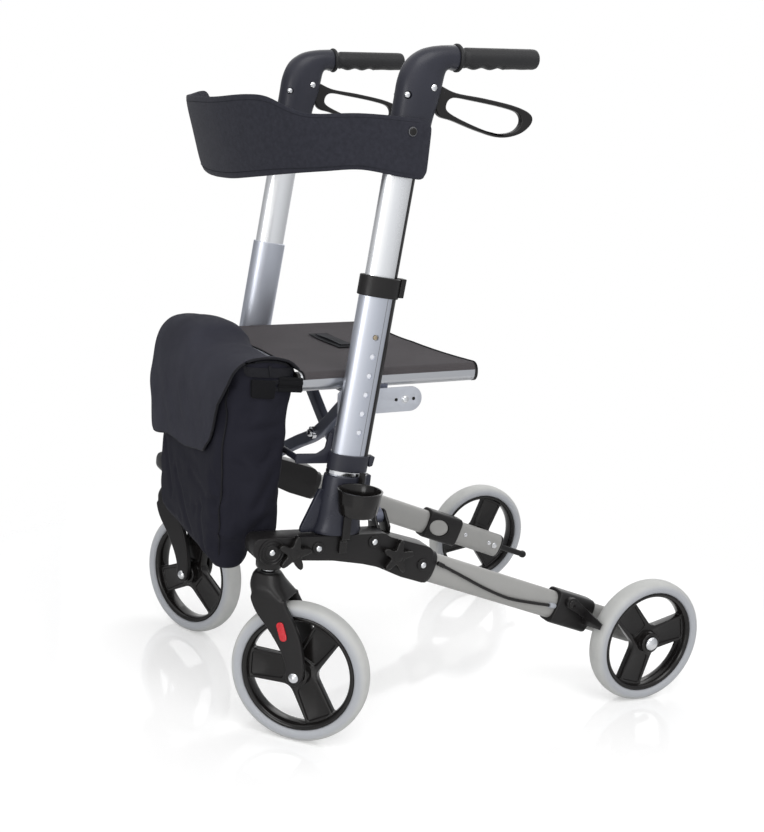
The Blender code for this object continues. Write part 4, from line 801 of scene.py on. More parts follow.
# %% Axle bolts, reflectors and the silver ring at the stem
bolt_half = [(0.0000, 0.0336), (0.0014, 0.0335), (0.0030, 0.0331), (0.0048, 0.0322), (0.0064, 0.0308),
             (0.0072, 0.0298), (0.0074, 0.0293), (0.0050, 0.0293), (0.0050, 0.0200)]
axle_at = Vector((0, TRAIL, WHEEL_RADIUS))
axle_master = smooth(turned(mirrored(bolt_half), axle_at, X, 40), 40)
lens = band([(0.0352, 0.1712), (0.0413, 0.1554)], [0.0105, 0.0105], (True, True))
lens_master = smooth(soften(slab(lens, WHEEL_PLANE, 0.0288, 0.0312), 0.0007, 3, 50), 50)
ring_master = smooth(turned([(0.0084, 0.2356), (0.0098, 0.2356), (0.0103, 0.2362), (0.0103, 0.2392),
                             (0.0098, 0.2398), (0.0084, 0.2398)], Vector(), Z, 64, closed=True), 40)
for name in SIDES:
    place, carrier = fork_place(name), name + "_fork"
    done(copied(fork_master, place), name + "_caster_fork", carrier, "black_plastic", [name + "_fork"])
    done(copied(axle_master, place), name + "_caster_axle", carrier, "chrome", [name + "_front_axle"])
    done(copied(lens_master, place), name + "_caster_reflector", carrier, "red_reflector",
         [name + "_reflector"])
    done(copied(ring_master, place), name + "_stem_ring", name + "_frame", "chrome")
for master in (fork_master, axle_master, lens_master, ring_master):
    bpy.data.objects.remove(master, do_unlink=True)
print("casters placed")

# %% [markdown]
# ## Rear tubes and brakes
# The rear tube is an oval aluminium tube, painted a warm grey. A moulded sleeve on it carries the
# brake arm, and a plug with a tipping pin closes its end. From here on, a piece is made for the
# left side, and both_sides mirrors a copy of it to the right.

# %% Tube, rivets and plug
TUBE_HIGH, TUBE_WIDE, TUBE_WALL = 0.022, 0.0145, 0.0025
TUBE_FRONT, TUBE_REAR = -0.455, 0.013
tube_way = (tube_at(1) - tube_at(0)).normalized()
tube_u, tube_v = across(tube_way)


def tube_ring(at, grow=0.0, power=2.4, count=64):
    """A ring of the rear tube, or one so much larger."""
    return oval(at, tube_u, tube_v, TUBE_HIGH + grow, TUBE_WIDE + grow, count, power)


front, rear = tube_at(TUBE_FRONT), tube_at(TUBE_REAR)
tube = rolled([tube_ring(front), tube_ring(rear), tube_ring(rear, -TUBE_WALL), tube_ring(front, -TUBE_WALL)],
              closed=True)
both_sides(smooth(tube, 40), "rear_frame_tube", "frame", "grey_paint", ["rear_tube"])


def dome(at, axis, radius, height, count=32, flange=0.0):
    """A domed head: a bolt's, a rivet's or a button's; a flange is a flat washer under it."""
    profile = [(0.0, height)] + [(radius * math.sin(a), height * (0.25 + 0.75 * math.cos(a)))
                                 for a in (math.radians(15 * k) for k in range(1, 6))]
    profile += [(radius, height * 0.12), (radius * 0.97, 0.0)]
    if flange:
        profile[-1:] = [(radius, height * 0.10), (radius + flange, height * 0.10), (radius + flange, 0.0)]
    return turned(profile[::-1], at, axis, count)


TUBE_INSIDE = SIDE_X - TUBE_WIDE
rivets = [dome(Vector((TUBE_INSIDE + 0.0002, y, z)), -X, 0.0042, 0.0016, 24)
          for y, z in ((-0.067, 0.1245), (-0.012, 0.1060))]
both_sides(smooth(together(*rivets), 40), "tube_rivets", "frame", "chrome")
plug = rolled([tube_ring(rear + tube_way * s, grow) for s, grow in (
    (-0.050, -0.0028), (0.0003, -0.0028), (0.0003, 0.0), (0.0030, -0.0002), (0.0052, -0.0012),
    (0.0062, -0.0030), (0.0066, -0.0080))])
pin = turned([(0.0062, 0.0), (0.0058, 0.004), (0.0055, 0.010), (0.0055, 0.060), (0.0068, 0.062),
              (0.0070, 0.065), (0.0066, 0.068), (0.0050, 0.0703), (0.0025, 0.0710)],
             rear + tube_way * 0.004, tube_way, 32)
both_sides(smooth(together(plug, pin), 40), "tipping_plug", "frame", "black_plastic", ["rear_plug"])
axle = turned([(0.0030, TUBE_INSIDE - 0.0024), (0.0048, TUBE_INSIDE - 0.0020), (0.0056, TUBE_INSIDE - 0.0012),
               (0.0058, TUBE_INSIDE - 0.0004), (0.0050, TUBE_INSIDE - 0.0004), (0.0050, 0.2228),
               (0.0092, 0.2230), (0.0092, 0.2420),
               (0.0050, 0.2422), (0.0050, 0.2812), (0.0112, 0.2812), (0.0116, 0.2818), (0.0112, 0.2832),
               (0.0094, 0.2852), (0.0065, 0.2869), (0.0032, 0.2878), (0.0, 0.2880)],
              Z * WHEEL_RADIUS, X, 40)
both_sides(smooth(axle, 40), "rear_axle_bolt", "frame", "chrome", ["rear_axle"])
print("rear tubes")

# %% Brake sleeve, arm, shoe and cable
BRAKE_Y = -0.119
sleeve_middle = tube_at(BRAKE_Y)
sleeve_outer = [tube_ring(sleeve_middle + tube_way * s, 0.005 - drop, 4.2, 72) for s, drop in (
    (-0.0370, 0.0024), (-0.0366, 0.0012), (-0.0355, 0.0003), (-0.0340, 0.0), (-0.0120, 0.0), (0.0120, 0.0),
    (0.0340, 0.0), (0.0355, 0.0003), (0.0366, 0.0012), (0.0370, 0.0024))]
sleeve_inner = [tube_ring(sleeve_middle + tube_way * s, 0.0004, 2.4, 72) for s in (0.0370, -0.0370)]
sleeve = rolled(sleeve_outer + sleeve_inner, closed=True)
window_at = sleeve_middle - tube_way * 0.0115
cut(sleeve, rolled([oval(window_at - X * d, tube_way, tube_u, 0.0214, 0.0158, 48) for d in (0.0163, 0.03)]))
both_sides(smooth(sleeve, 35), "brake_sleeve", "frame", "black_plastic", ["brake_housing"])
disc = rolled([oval(window_at - X * d, tube_way, tube_u, a, b, 48) for d, a, b in (
    (0.0156, 0.0205, 0.0150), (0.0176, 0.0205, 0.0150), (0.0182, 0.0197, 0.0142), (0.0184, 0.0150, 0.0100))])
both_sides(smooth(disc, 40), "brake_disc", "frame", "grey_paint")
BRAKE_PIN = Vector((0.2275, -0.130, 0.158))
boss = turned([(0.0084, -0.005), (0.0084, -0.0008), (0.0078, 0.0001)], BRAKE_PIN, X, 40)
stud = turned([(0.0040, -0.002), (0.0040, 0.0062), (0.0066, 0.0062), (0.0066, 0.0070), (0.0058, 0.0082),
               (0.0035, 0.0091), (0.0, 0.0095)], BRAKE_PIN, X, 32)
both_sides(smooth(boss, 40), "brake_boss", "frame", "black_plastic")
both_sides(smooth(stud, 40), "brake_stud", "frame", "gloss_black")
SHOE_NEAR, SHOE_FAR = 0.1026, 0.1106
SHOE_FROM, SHOE_TO, SHOE_TAPER = 0.2285, 0.2740, 0.62
pad = arc((0.0, WHEEL_RADIUS), SHOE_NEAR, 169, 155, 14) + arc((0.0, WHEEL_RADIUS), SHOE_FAR, 155, 163, 10)
shoe = slab(pad, side_plane(), SHOE_FROM, SHOE_TO)
tip_y, tip_z = polar(0.1065, math.radians(161.5))
for vertex in shoe.data.vertices:
    share = SHOE_TAPER * (vertex.co.x - SHOE_FROM) / 0.0455
    vertex.co.y += (tip_y - vertex.co.y) * share
    vertex.co.z += (tip_z + WHEEL_RADIUS - vertex.co.z) * share
soften(shoe, 0.0012, 3, 50)
wedge = [(-0.1390, 0.1550), (-0.1375, 0.1640), (-0.1300, 0.1668), (-0.1225, 0.1650), (-0.1120, 0.1560),
         (-0.0985, 0.1455), (-0.0940, 0.1395), (-0.0975, 0.1340), (-0.1040, 0.1330), (-0.1180, 0.1420),
         (-0.1320, 0.1495)]
arm = soften(slab(smooth_curve(wedge, 4, closed=True), side_plane(), 0.2281, 0.2336), 0.0010, 3, 50)
both_sides(smooth(together(shoe, arm), 40), "brake_shoe_arm", "brake", "black_plastic", ["brake_arm"])


def cable_ring(p, way, radius, count):
    """A round ring square to the way."""
    u, v = across(way)
    return oval(p, u, v, radius, radius, count)


def swept(path, radius, count=20):
    """A round skin along a path; the radius may be a list."""
    points = [Vector(p) for p in path]
    radii = radius if isinstance(radius, list) else [radius] * len(points)
    ways = [points[min(i + 1, len(points) - 1)] - points[max(i - 1, 0)] for i in range(len(points))]
    return rolled([cable_ring(p, way, r, count) for p, way, r in zip(points, ways, radii)])


cable_points = []
for i, height in enumerate((0.012, 0.004, -0.004, -0.008, -0.004, 0.002)):
    at = tube_at(-0.376 + 0.216 * i / 5)
    cable_points.append((SIDE_X + 0.0174 - 0.0012 * (height / 0.012) ** 2, at.y, at.z + height))
cable_path = smooth_curve(cable_points, 8)
both_sides(smooth(swept(cable_path, 0.0024), 60), "brake_cable_run", "frame", "black_plastic",
           ["brake_cable"])
for tip, inner, label, metal, wide in ((cable_path[0], cable_path[3], "front", "gloss_black", 0.0034),
                                       (cable_path[-1], cable_path[-4], "rear", "cast_aluminium", 0.0044)):
    way = (Vector(tip) - Vector(inner)).normalized()
    end = turned([(0.0026, -0.0090), (wide, -0.0085), (wide, 0.0015), (wide - 0.0008, 0.0030),
                  (0.0014, 0.0030)], Vector(tip), way, 24)
    both_sides(smooth(end, 40), f"cable_{label}_ferrule", "frame", metal)
print("brakes")

# %% [markdown]
# ## Brackets, sockets and columns
# The long black bracket is a casting: an outline with rounded corners, extruded across and
# bevelled, with a shallow panel sunk in its outer face. Its bolts and star knobs are pieces of
# their own, as on the real one. The column is an extruded oval tube, so it is rolled from a few
# ovals with a wall, and its height holes are cut through the outer side with a Boolean modifier.

# %% The bracket's body
BRACKET_FACE, BRACKET_THICK = 0.2265, 0.037
top_edge = [(-0.6630, 0.2880), (-0.4740, 0.2880), (-0.4690, 0.2868), (-0.4620, 0.2818), (-0.4330, 0.2738),
            (-0.4030, 0.2655), (-0.3930, 0.2618), (-0.3870, 0.2550)]
low_edge = [(-0.3885, 0.2200), (-0.3940, 0.2087), (-0.4010, 0.2062), (-0.4400, 0.2183), (-0.4790, 0.2353),
            (-0.5030, 0.2412), (-0.5500, 0.2488), (-0.6000, 0.2517), (-0.6550, 0.2545), (-0.6660, 0.2570),
            (-0.6712, 0.2650), (-0.6716, 0.2780), (-0.6690, 0.2850)]
body = slab(rounded(top_edge + low_edge, 0.0035, 4), side_plane(), BRACKET_FACE - BRACKET_THICK, BRACKET_FACE)
for face in body.data.polygons:
    face.select = face.normal.x > 0.99 and face.area > 0.001
only(body)
bpy.ops.object.mode_set(mode="EDIT")
bpy.ops.mesh.select_mode(type="FACE")
bpy.ops.mesh.inset(thickness=0.0042, depth=-0.0011)
leave()
soften(body, 0.0010, 3, 30)
stem_at = Vector((SIDE_X, STEM_Y, 0))
stem_boss = turned([(0.0150, 0.2400), (0.0170, 0.2406), (0.0180, 0.2425), (0.0183, 0.2500),
                    (0.0183, 0.2620)], stem_at, Z, 64)
rear_lip = rolled([tube_ring(tube_at(y), grow, 2.4, 64) for y, grow in (
    (-0.420, 0.0030), (-0.3850, 0.0030), (-0.3842, 0.0024), (-0.3836, 0.0010))])
body = together(body, stem_boss, rear_lip)
both_sides(smooth(body, 40), "bracket_casting", "frame", "black_plastic", ["bracket"])

# %% Its bolts and the boss round the front one
BRACKET_BOLTS = [(-0.6440, 0.2675), (-0.5750, 0.2700), (-0.4890, 0.2755), (-0.4050, 0.2360)]
bolts = [dome(Vector((BRACKET_FACE + 0.0012, y, z)), X, 0.0047, 0.0034, 32) for y, z in BRACKET_BOLTS]
both_sides(smooth(together(*bolts), 40), "bracket_bolts", "frame", "chrome")
seats = [turned([(0.0090, -0.002), (0.0090, 0.0004), (0.0084, 0.0011), (0.0070, 0.0012), (0.0, 0.0012)],
                Vector((BRACKET_FACE, y, z)), X, 48) for y, z in BRACKET_BOLTS[1:]]
front_boss = turned([(0.0188, -0.002), (0.0188, 0.0003), (0.0182, 0.0012), (0.0168, 0.0014), (0.0158, 0.0004),
                     (0.0146, 0.0004), (0.0138, 0.0014), (0.0124, 0.0014), (0.0114, 0.0004), (0.0102, 0.0004),
                     (0.0094, 0.0014), (0.0, 0.0014)],
                    Vector((BRACKET_FACE, *BRACKET_BOLTS[0])), X, 64)
both_sides(smooth(together(front_boss, *seats), 30), "bolt_seats", "frame", "black_plastic")


# %% Star knobs
def star_outline(y, z, tip, waist):
    """Five rounded lobes."""
    points = []
    for i in range(60):
        angle = 2 * math.pi * i / 60
        lobe = 0.5 + 0.5 * math.cos(5 * (angle - math.radians(82)))
        radius = waist + (tip - waist) * lobe ** 1.5
        points.append((y + radius * math.cos(angle), z + radius * math.sin(angle)))
    return points


knobs = []
for y, z in ((-0.6135, 0.2665), (-0.4525, 0.2535)):
    knob = soften(slab(star_outline(y, z, 0.0262, 0.0118), side_plane(BRACKET_FACE), 0.0012, 0.0110),
                  0.0022, 4, 50)
    knob = together(knob, dome(Vector((BRACKET_FACE + 0.0106, y, z)), X, 0.0070, 0.0014, 40),
                    turned([(0.0085, -0.001), (0.0085, 0.003)], Vector((BRACKET_FACE, y, z)), X, 32))
    knobs.append(knob)
both_sides(smooth(together(*knobs), 40), "star_knobs", "frame", "gloss_black")

# %% Ears and pin at the foot of each brace arm
for name, side in SIDES.items():
    depth = side * 0.009
    plane = (fold_point(0, 0), X * side, fold_point(0, 1) - fold_point(0, 0),
             fold_point(0, 0, 1) - fold_point(0, 0))
    ear = arc((0.177, -0.082), 0.0105, 30, 210, 24) + [(0.171, -0.110), (0.197, -0.117), (0.200, -0.092)]
    ears = [slab(ear, plane, depth + low, depth + low + 0.0040) for low in (0.0069, -0.0109)]
    for part in ears:
        soften(part, 0.0008, 2, 50)
    done(smooth(together(*ears), 40), name + "_brace_ears", name + "_frame", "black_plastic")
    foot_at = fold_point(side * 0.177, -0.082, depth)
    pin = turned(mirrored([(0.0, 0.0142), (0.0030, 0.0139), (0.0056, 0.0126), (0.0062, 0.0112),
                           (0.0040, 0.0110)]), foot_at, plane[3], 32)
    done(smooth(pin, 40), name + "_brace_pin", name + "_frame", "chrome")
print("brackets")

# %% Socket with its gusset and the silver ring above it
SOCKET_LONG, SOCKET_WIDE = 0.032, 0.022


def socket_ring(z, grow):
    """A ring of the socket, or one so much larger."""
    return oval(column_at(z), Y, X, SOCKET_LONG + grow, SOCKET_WIDE + grow / 2, 96)


socket = rolled([socket_ring(*row) for row in (
    (0.2883, 0.0034), (0.2895, 0.0042), (0.2930, 0.0040), (0.2990, 0.0022), (0.3060, 0.0008),
    (0.3180, 0.0002), (0.3690, 0.0), (0.3704, -0.0004), (0.3710, -0.0014), (0.3710, -0.0044),
    (0.3640, -0.0048), (0.2975, -0.0048))])
web = [(-0.5720, 0.3500), (-0.5745, 0.3500), (-0.5975, 0.2950), (-0.5975, 0.2882), (-0.5710, 0.2882),
       (-0.5660, 0.3500)]
gusset = moulded(web, 0.003, side_plane(SIDE_X - 0.001), -0.0035, 0.0035, 0.0014)
lug = [(-0.5075, 0.3510), (-0.4985, 0.3530), (-0.4985, 0.3700), (-0.5075, 0.3700)]
lug = moulded(lug, 0.002, side_plane(SIDE_X - 0.001), -0.0060, 0.0060, 0.0010)
both_sides(smooth(together(socket, gusset, lug), 40), "socket_casting", "frame", "socket_cast",
           ["column_socket"])
lip = rolled([column_oval(z, 0.0272 + grow, 0.0172 + grow) for z, grow in (
    (0.3712, 0.0022), (0.3716, 0.0028), (0.3762, 0.0028), (0.3768, 0.0022), (0.3768, 0.0), (0.3712, 0.0))],
    closed=True)
both_sides(smooth(lip, 40), "socket_lip", "frame", "chrome")

# %% Lower column with its height holes
TOP_HOLE, HOLE_PITCH, HOLE_RADIUS = 0.566, 0.0265, 0.0046
HOLES = [TOP_HOLE - HOLE_PITCH * i for i in range(6)]


def column_tube(low, high, long, wide, wall):
    """An oval tube along the column, its upper rim rounded by half a millimetre."""
    rows = [(low, 0.0), (high - 0.0005, 0.0), (high, -0.0005), (high, -wall + 0.0003), (high - 0.0004, -wall),
            (low, -wall)]
    return rolled([column_oval(z, long + grow, wide + grow, 112) for z, grow in rows], closed=True)


column = column_tube(0.2973, 0.646, COLUMN_LONG, COLUMN_WIDE, 0.0025)
for z in HOLES:
    cut(column, turned([(HOLE_RADIUS, 0.008), (HOLE_RADIUS, 0.030)], column_at(z), X, 32))
both_sides(smooth(column, 30), "lower_tube", "frame", "satin_aluminium", ["lower_column"])
liner = rolled([column_oval(z, COLUMN_LONG - 0.00252, COLUMN_WIDE - 0.00252) for z in (0.400, 0.474)] +
               [column_oval(z, COLUMN_LONG - 0.00264, COLUMN_WIDE - 0.00264) for z in (0.474, 0.400)],
               closed=True)
fills = [turned([(0.0045, 0.0142), (0.0045, 0.0150), (0.0034, 0.0152), (0.0030, 0.0160), (0.0, 0.0163)],
                column_at(z), X, 28)
         for z in HOLES[1:]]
both_sides(smooth(together(liner, *fills), 40), "hole_liner", "frame", "liner_white")


def column_strip(low, high, long, wide, angle, width, proud):
    """A narrow strip that follows the column's skin at an angle round it from its rear edge."""
    rows = []
    for z in (low, high):
        at, (u, v) = column_at(z), across(COLUMN_WAY)
        row = []
        skin = [(angle + width * k / 6, proud * (1 - 0.6 * (k / 6) ** 6)) for k in range(-6, 7)]
        for a, grow in [(angle - width, -0.0008)] + skin + [(angle + width, -0.0008)]:
            c, s = math.cos(math.radians(a)), math.sin(math.radians(a))
            row.append(at + u * (long + grow) * c + v * (wide + grow) * s)
        rows.append(row)
    return rolled(rows)


OUT = 1 if across(COLUMN_WAY)[1].x > 0 else -1
STRIP_LOW, STRIP_HIGH = 0.4005, 0.6195
channel = column_strip(STRIP_LOW, STRIP_HIGH, COLUMN_LONG, COLUMN_WIDE, OUT * 35, 17, 0.0009)
both_sides(smooth(channel, 40), "cable_channel", "frame", "black_plastic")
# A thin dark line along the column, laid proud of its skin with no recess cut: painted shade that stands for
# the shadow in a groove.
groove_shade = column_strip(STRIP_LOW, STRIP_HIGH, COLUMN_LONG, COLUMN_WIDE, OUT * 71, 0.9, 0.00012)
both_sides(smooth(groove_shade, 60), "column_groove", "frame", "dark_steel")
print("columns, outward along v:", OUT)

# %% Collar: ring, tab, hook and the rod that the bag hangs on
COLLAR_LOW = 0.377
collar = rolled([column_oval(COLLAR_LOW + z, COLUMN_LONG + grow, COLUMN_WIDE + grow, 96) for z, grow in (
    (0.0003, 0.0003), (0.0, 0.0022), (0.0008, 0.0030), (0.0222, 0.0030), (0.0230, 0.0022), (0.0230, 0.0003))],
    closed=True)
tab = [(-0.5050, 0.3812), (-0.4985, 0.3828), (-0.4960, 0.3965), (-0.5050, 0.3965)]
tab = moulded(tab, 0.002, side_plane(SIDE_X - 0.0012), -0.0070, 0.0070, 0.0012)
hook = [(-0.5600, 0.3852), (-0.6112, 0.3852), (-0.6112, 0.3988), (-0.5800, 0.3988), (-0.5690, 0.4060),
        (-0.5650, 0.4290), (-0.5612, 0.4290), (-0.5600, 0.3988)]
hook = moulded(hook, 0.0025, side_plane(SIDE_X - 0.007), -0.0025, 0.0025, 0.0010)
rod = rolled([oval(Vector((x, -0.6087, 0.3920)), Y, Z, 0.0028 - r, 0.0048 - r, 32, 2.6) for x, r in (
    (0.1500, 0.0016), (0.1504, 0.0006), (0.1514, 0.0), (0.2010, 0.0), (0.2018, 0.0010))])
both_sides(smooth(together(collar, tab, hook, rod), 40), "collar_with_hook", "frame", "housing_plastic",
           ["column_collar"])

# %% Seat support with its bolt
SUPPORT_TOP, SUPPORT_MIDDLE, SUPPORT_LOW = 0.1110, 0.0930, 0.0750
BOLT_ALONG, SCREW_OFFSETS = 0.039, (-0.014, 0.014)
support_x = column_at(0.495).x - COLUMN_WIDE - 0.0003
support_plane = (fold_point(0, 0), fold_point(0, 0, 1) - fold_point(0, 0),
                 fold_point(0, 1) - fold_point(0, 0), X)
outline = [(-0.066, 0.079), (-0.062, SUPPORT_LOW), (0.048, SUPPORT_LOW)]
outline += arc((0.048, SUPPORT_MIDDLE), 0.018, -90, 90, 28)[1:-1]
outline += [(0.048, SUPPORT_TOP), (-0.062, SUPPORT_TOP), (-0.066, 0.107)]
plate = slab(outline, support_plane, support_x - 0.003, support_x)
for offset in SCREW_OFFSETS:
    spot = fold_point(0, SUPPORT_MIDDLE, BOLT_ALONG + offset)
    cut(plate, turned([(0.0026, 0.15), (0.0026, 0.25)], spot, X, 28))
soften(plate, 0.0006, 2, 50)
shelf = [(-0.059, 0.1080), (-0.036, 0.1080), (-0.036, 0.1110), (-0.059, 0.1110)]
shelf = soften(slab(shelf, support_plane, 0.1635, support_x - 0.001), 0.0006, 2, 50)
both_sides(smooth(together(plate, shelf), 35), "seat_support_plate", "frame", "cast_aluminium",
           ["seat_support"])
spot = fold_point(0, SUPPORT_MIDDLE, BOLT_ALONG)
bolt = dome(Vector((support_x + 0.0002, spot.y, spot.z)), X, 0.0050, 0.0032, 32, flange=0.0014)
both_sides(smooth(bolt, 40), "seat_support_bolt", "frame", "chrome")
screws = [turned([(0.0024, -0.0026), (0.0024, -0.0010), (0.0, -0.0010)],
                 Vector((support_x, spot.y + off, spot.z + off * math.sin(SEAT_TILT))), X, 24)
          for off in SCREW_OFFSETS]
both_sides(smooth(together(*screws), 40), "support_screws", "frame", "gloss_black")
print("sockets, columns, collars and supports")

# %% [markdown]
# ## Handles
# The upper columns are bright and slide in the lower ones. On each sits a moulded elbow. A curve
# through its measured sections gives the flow from the oval column to the round grip, and a slot is
# cut for the brake lever. The grip is rolled from rings of changing radius, with finger bumps below.

# %% Upper column and its button
UPPER_TOP = 0.872
upper = column_tube(0.476, UPPER_TOP, UPPER_LONG, UPPER_WIDE, 0.002)
both_sides(smooth(upper, 40), "upper_tube", "handle", "bright_aluminium", ["upper_column"])
at = column_at(HOLES[0])
button = turned([(0.0050, 0.0079), (0.0050, 0.0109), (0.0036, 0.0109), (0.0036, 0.0150), (0.0032, 0.0158),
                 (0.0020, 0.0163), (0.0, 0.0164)], at, X, 28)
both_sides(smooth(button, 40), "height_button", "button", "brass", ["lock_button"])
upper_strip = column_strip(0.6475, 0.7995, UPPER_LONG, UPPER_WIDE, OUT * 32, 18, 0.0004)
both_sides(smooth(upper_strip, 60), "upper_groove", "handle", "black_plastic")

# %% The elbow
HANDLE_X = column_at(0.93).x
GRIP_START = Vector((HANDLE_X, -0.4365, 0.9442))
GRIP_END = Vector((HANDLE_X, -0.3090, 0.9585))
grip_way = (GRIP_END - GRIP_START).normalized()
elbow_rows = [  # outer edge (y, z), inner edge (y, z), half width, squareness
    (-0.5290, 0.8000, -0.4715, 0.8000, 0.0195, 2.3), (-0.5252, 0.8310, -0.4670, 0.8310, 0.0195, 2.3),
    (-0.5215, 0.8620, -0.4625, 0.8620, 0.0195, 2.3), (-0.5196, 0.8850, -0.4575, 0.8830, 0.0195, 2.3),
    (-0.5180, 0.9050, -0.4550, 0.8960, 0.0194, 2.3), (-0.5130, 0.9230, -0.4533, 0.9090, 0.0192, 2.3),
    (-0.5045, 0.9365, -0.4522, 0.9180, 0.0189, 2.3), (-0.4905, 0.9475, -0.4507, 0.9238, 0.0184, 2.3),
    (-0.4760, 0.9535, -0.4480, 0.9266, 0.0177, 2.25), (-0.4600, 0.9575, -0.4435, 0.9281, 0.0170, 2.2),
]
elbow_rings = []
for y0, z0, y1, z1, half, power in [tuple(r) for r in smooth_curve(elbow_rows, 5)]:
    x = column_at(min(z0, 0.93)).x
    a, b = Vector((x, y0, z0)), Vector((x, y1, z1))
    elbow_rings.append(oval((a + b) / 2, (b - a).normalized(), X, (b - a).length / 2, half, 80, power))
grip_u = -across(grip_way)[0]
for s, radius in ((-0.0040, 0.0166), (-0.0015, 0.0164), (-0.0003, 0.0158)):
    elbow_rings.append(oval(GRIP_START + grip_way * s, grip_u, X, radius, radius, 80, 2.1))
first = elbow_rings[0]
middle = sum(first, Vector()) / len(first)
elbow_rings = [[middle + (p - middle) * 0.985 - Z * 0.0006 for p in first]] + elbow_rings
elbow = rolled(elbow_rings)
LEVER_SLOT = [(-0.4845, 0.8580), (-0.4300, 0.8400), (-0.4300, 0.9115), (-0.4560, 0.9130),
              (-0.4765, 0.9130), (-0.4845, 0.9060)]
cut(elbow, slab(LEVER_SLOT, side_plane(HANDLE_X), -0.0062, 0.0062))
LEVER_PIVOT, HOUSING_BOLT, STRAP_BOLT = (-0.4725, 0.9015), (-0.5095, 0.8880), (-0.5030, 0.8420)
for way in (X, -X):
    for place, depth in ((LEVER_PIVOT, 0.0150), (HOUSING_BOLT, 0.0135)):
        cut(elbow, turned([(0.0053, depth), (0.0053, 0.0300)], Vector((HANDLE_X, *place)), way, 40))
both_sides(smooth(elbow, 35), "handle_elbow", "handle", "housing_plastic", ["handle_housing"])

# %% Its bolts, and the pin of the lever
pin = turned(mirrored([(0.0, 0.0196), (0.0026, 0.0194), (0.0044, 0.0180), (0.0048, 0.0160), (0.0048, 0.0154),
                       (0.0030, 0.0154)]), Vector((HANDLE_X, *LEVER_PIVOT)), X, 40)
both_sides(smooth(pin, 40), "lever_pivot_pin", "handle", "chrome", ["lever_pin"])
bolts = [dome(Vector((HANDLE_X + way.x * 0.0136, *HOUSING_BOLT)), way, 0.0046, 0.0044, 36)
         for way in (X, -X)]
both_sides(smooth(together(*bolts), 40), "elbow_bolts", "handle", "chrome")

# %% Rubber grip
FINGER_BUMP = 0.0013
grip_length = (GRIP_END - GRIP_START).length
first, last = 0.016, grip_length - 0.010
stations = [(0.0, 0.0160), (0.0006, 0.0180), (0.0016, 0.0187), (0.0038, 0.0185), (0.0056, 0.0172),
            (0.0072, 0.0140), (0.0088, 0.0126), (0.0115, 0.0124), (0.0140, 0.0132)]
stations += [(first + (last - first) * i / 60, 0.0138) for i in range(61)]
stations += [(grip_length - 0.0070, 0.0137), (grip_length - 0.0040, 0.0134), (grip_length - 0.0020, 0.0127),
             (grip_length - 0.0008, 0.0116), (grip_length - 0.0001, 0.0098), (grip_length, 0.0060)]
u, v = across(grip_way)
u = u if u.z > 0 else -u
rings = []
for s, radius in stations:
    wave = 0.0
    if first <= s <= last:
        fade = 1.0 if s < grip_length * 0.60 else 0.15
        wave = -FINGER_BUMP * math.cos(8 * math.pi * (s - first) / (last - first)) * fade
    ring = []
    for point in oval(GRIP_START + grip_way * s, u, v, radius, radius, 64):
        below = max(-(point - GRIP_START - grip_way * s).dot(u) / radius, 0)
        ring.append(point - u * wave * below)
    rings.append(ring)
both_sides(smooth(rolled(rings), 60), "rubber_grip", "handle", "grip_rubber", ["grip"])

# %% Loop brake lever
lever_outside = smooth_curve([
    (-0.4715, 0.9095), (-0.4560, 0.9065), (-0.4300, 0.8995), (-0.3850, 0.8975), (-0.3350, 0.8930),
    (-0.3080, 0.8850), (-0.3050, 0.8720), (-0.3220, 0.8565), (-0.3520, 0.8485), (-0.3880, 0.8530),
    (-0.4300, 0.8625), (-0.4520, 0.8665), (-0.4630, 0.8810), (-0.4805, 0.8985)], 6, closed=True)
lever_inside = smooth_curve([
    (-0.4435, 0.8820), (-0.4340, 0.8925), (-0.4000, 0.8920), (-0.3500, 0.8885), (-0.3275, 0.8835),
    (-0.3220, 0.8710), (-0.3330, 0.8585), (-0.3600, 0.8535), (-0.3950, 0.8595), (-0.4360, 0.8720)], 6,
    closed=True)
lever = slab(lever_outside, side_plane(HANDLE_X), -0.0055, 0.0055)
cut(lever, slab(lever_inside, side_plane(HANDLE_X), -0.02, 0.02))
soften(lever, 0.0024, 4, 55)
both_sides(smooth(lever, 50), "loop_lever", "lever", "black_plastic", ["brake_lever"])
print("handles")

# %% [markdown]
# ## The scissor brace and the seat
# Two flat bars cross under the seat. Each carries a seat rail at its upper end. They are outlines
# again, cranked and bevelled. The seat is one sheet of mesh that wraps both rails. It crosses the
# scissor joint, so it rides on neither arm.

# %% Arms, cradles and the pivot bolt
fold_up, fold_along = fold_point(0, 1) - fold_point(0, 0), fold_point(0, 0, 1) - fold_point(0, 0)
FOOT = (0.177, -0.082)
RAIL = (0.1725, 0.1245)
RAIL_HIGH, RAIL_WIDE = 0.0132, 0.0120
ARM_WIDE, ARM_HALF = 0.020, 0.0065


def rail_ring(side, along, grow=0.0):
    """A ring of a seat rail, or one so much larger."""
    return oval(fold_point(side * RAIL[0], RAIL[1], along), fold_up, X, RAIL_HIGH + grow, RAIL_WIDE + grow,
                64, 2.3)


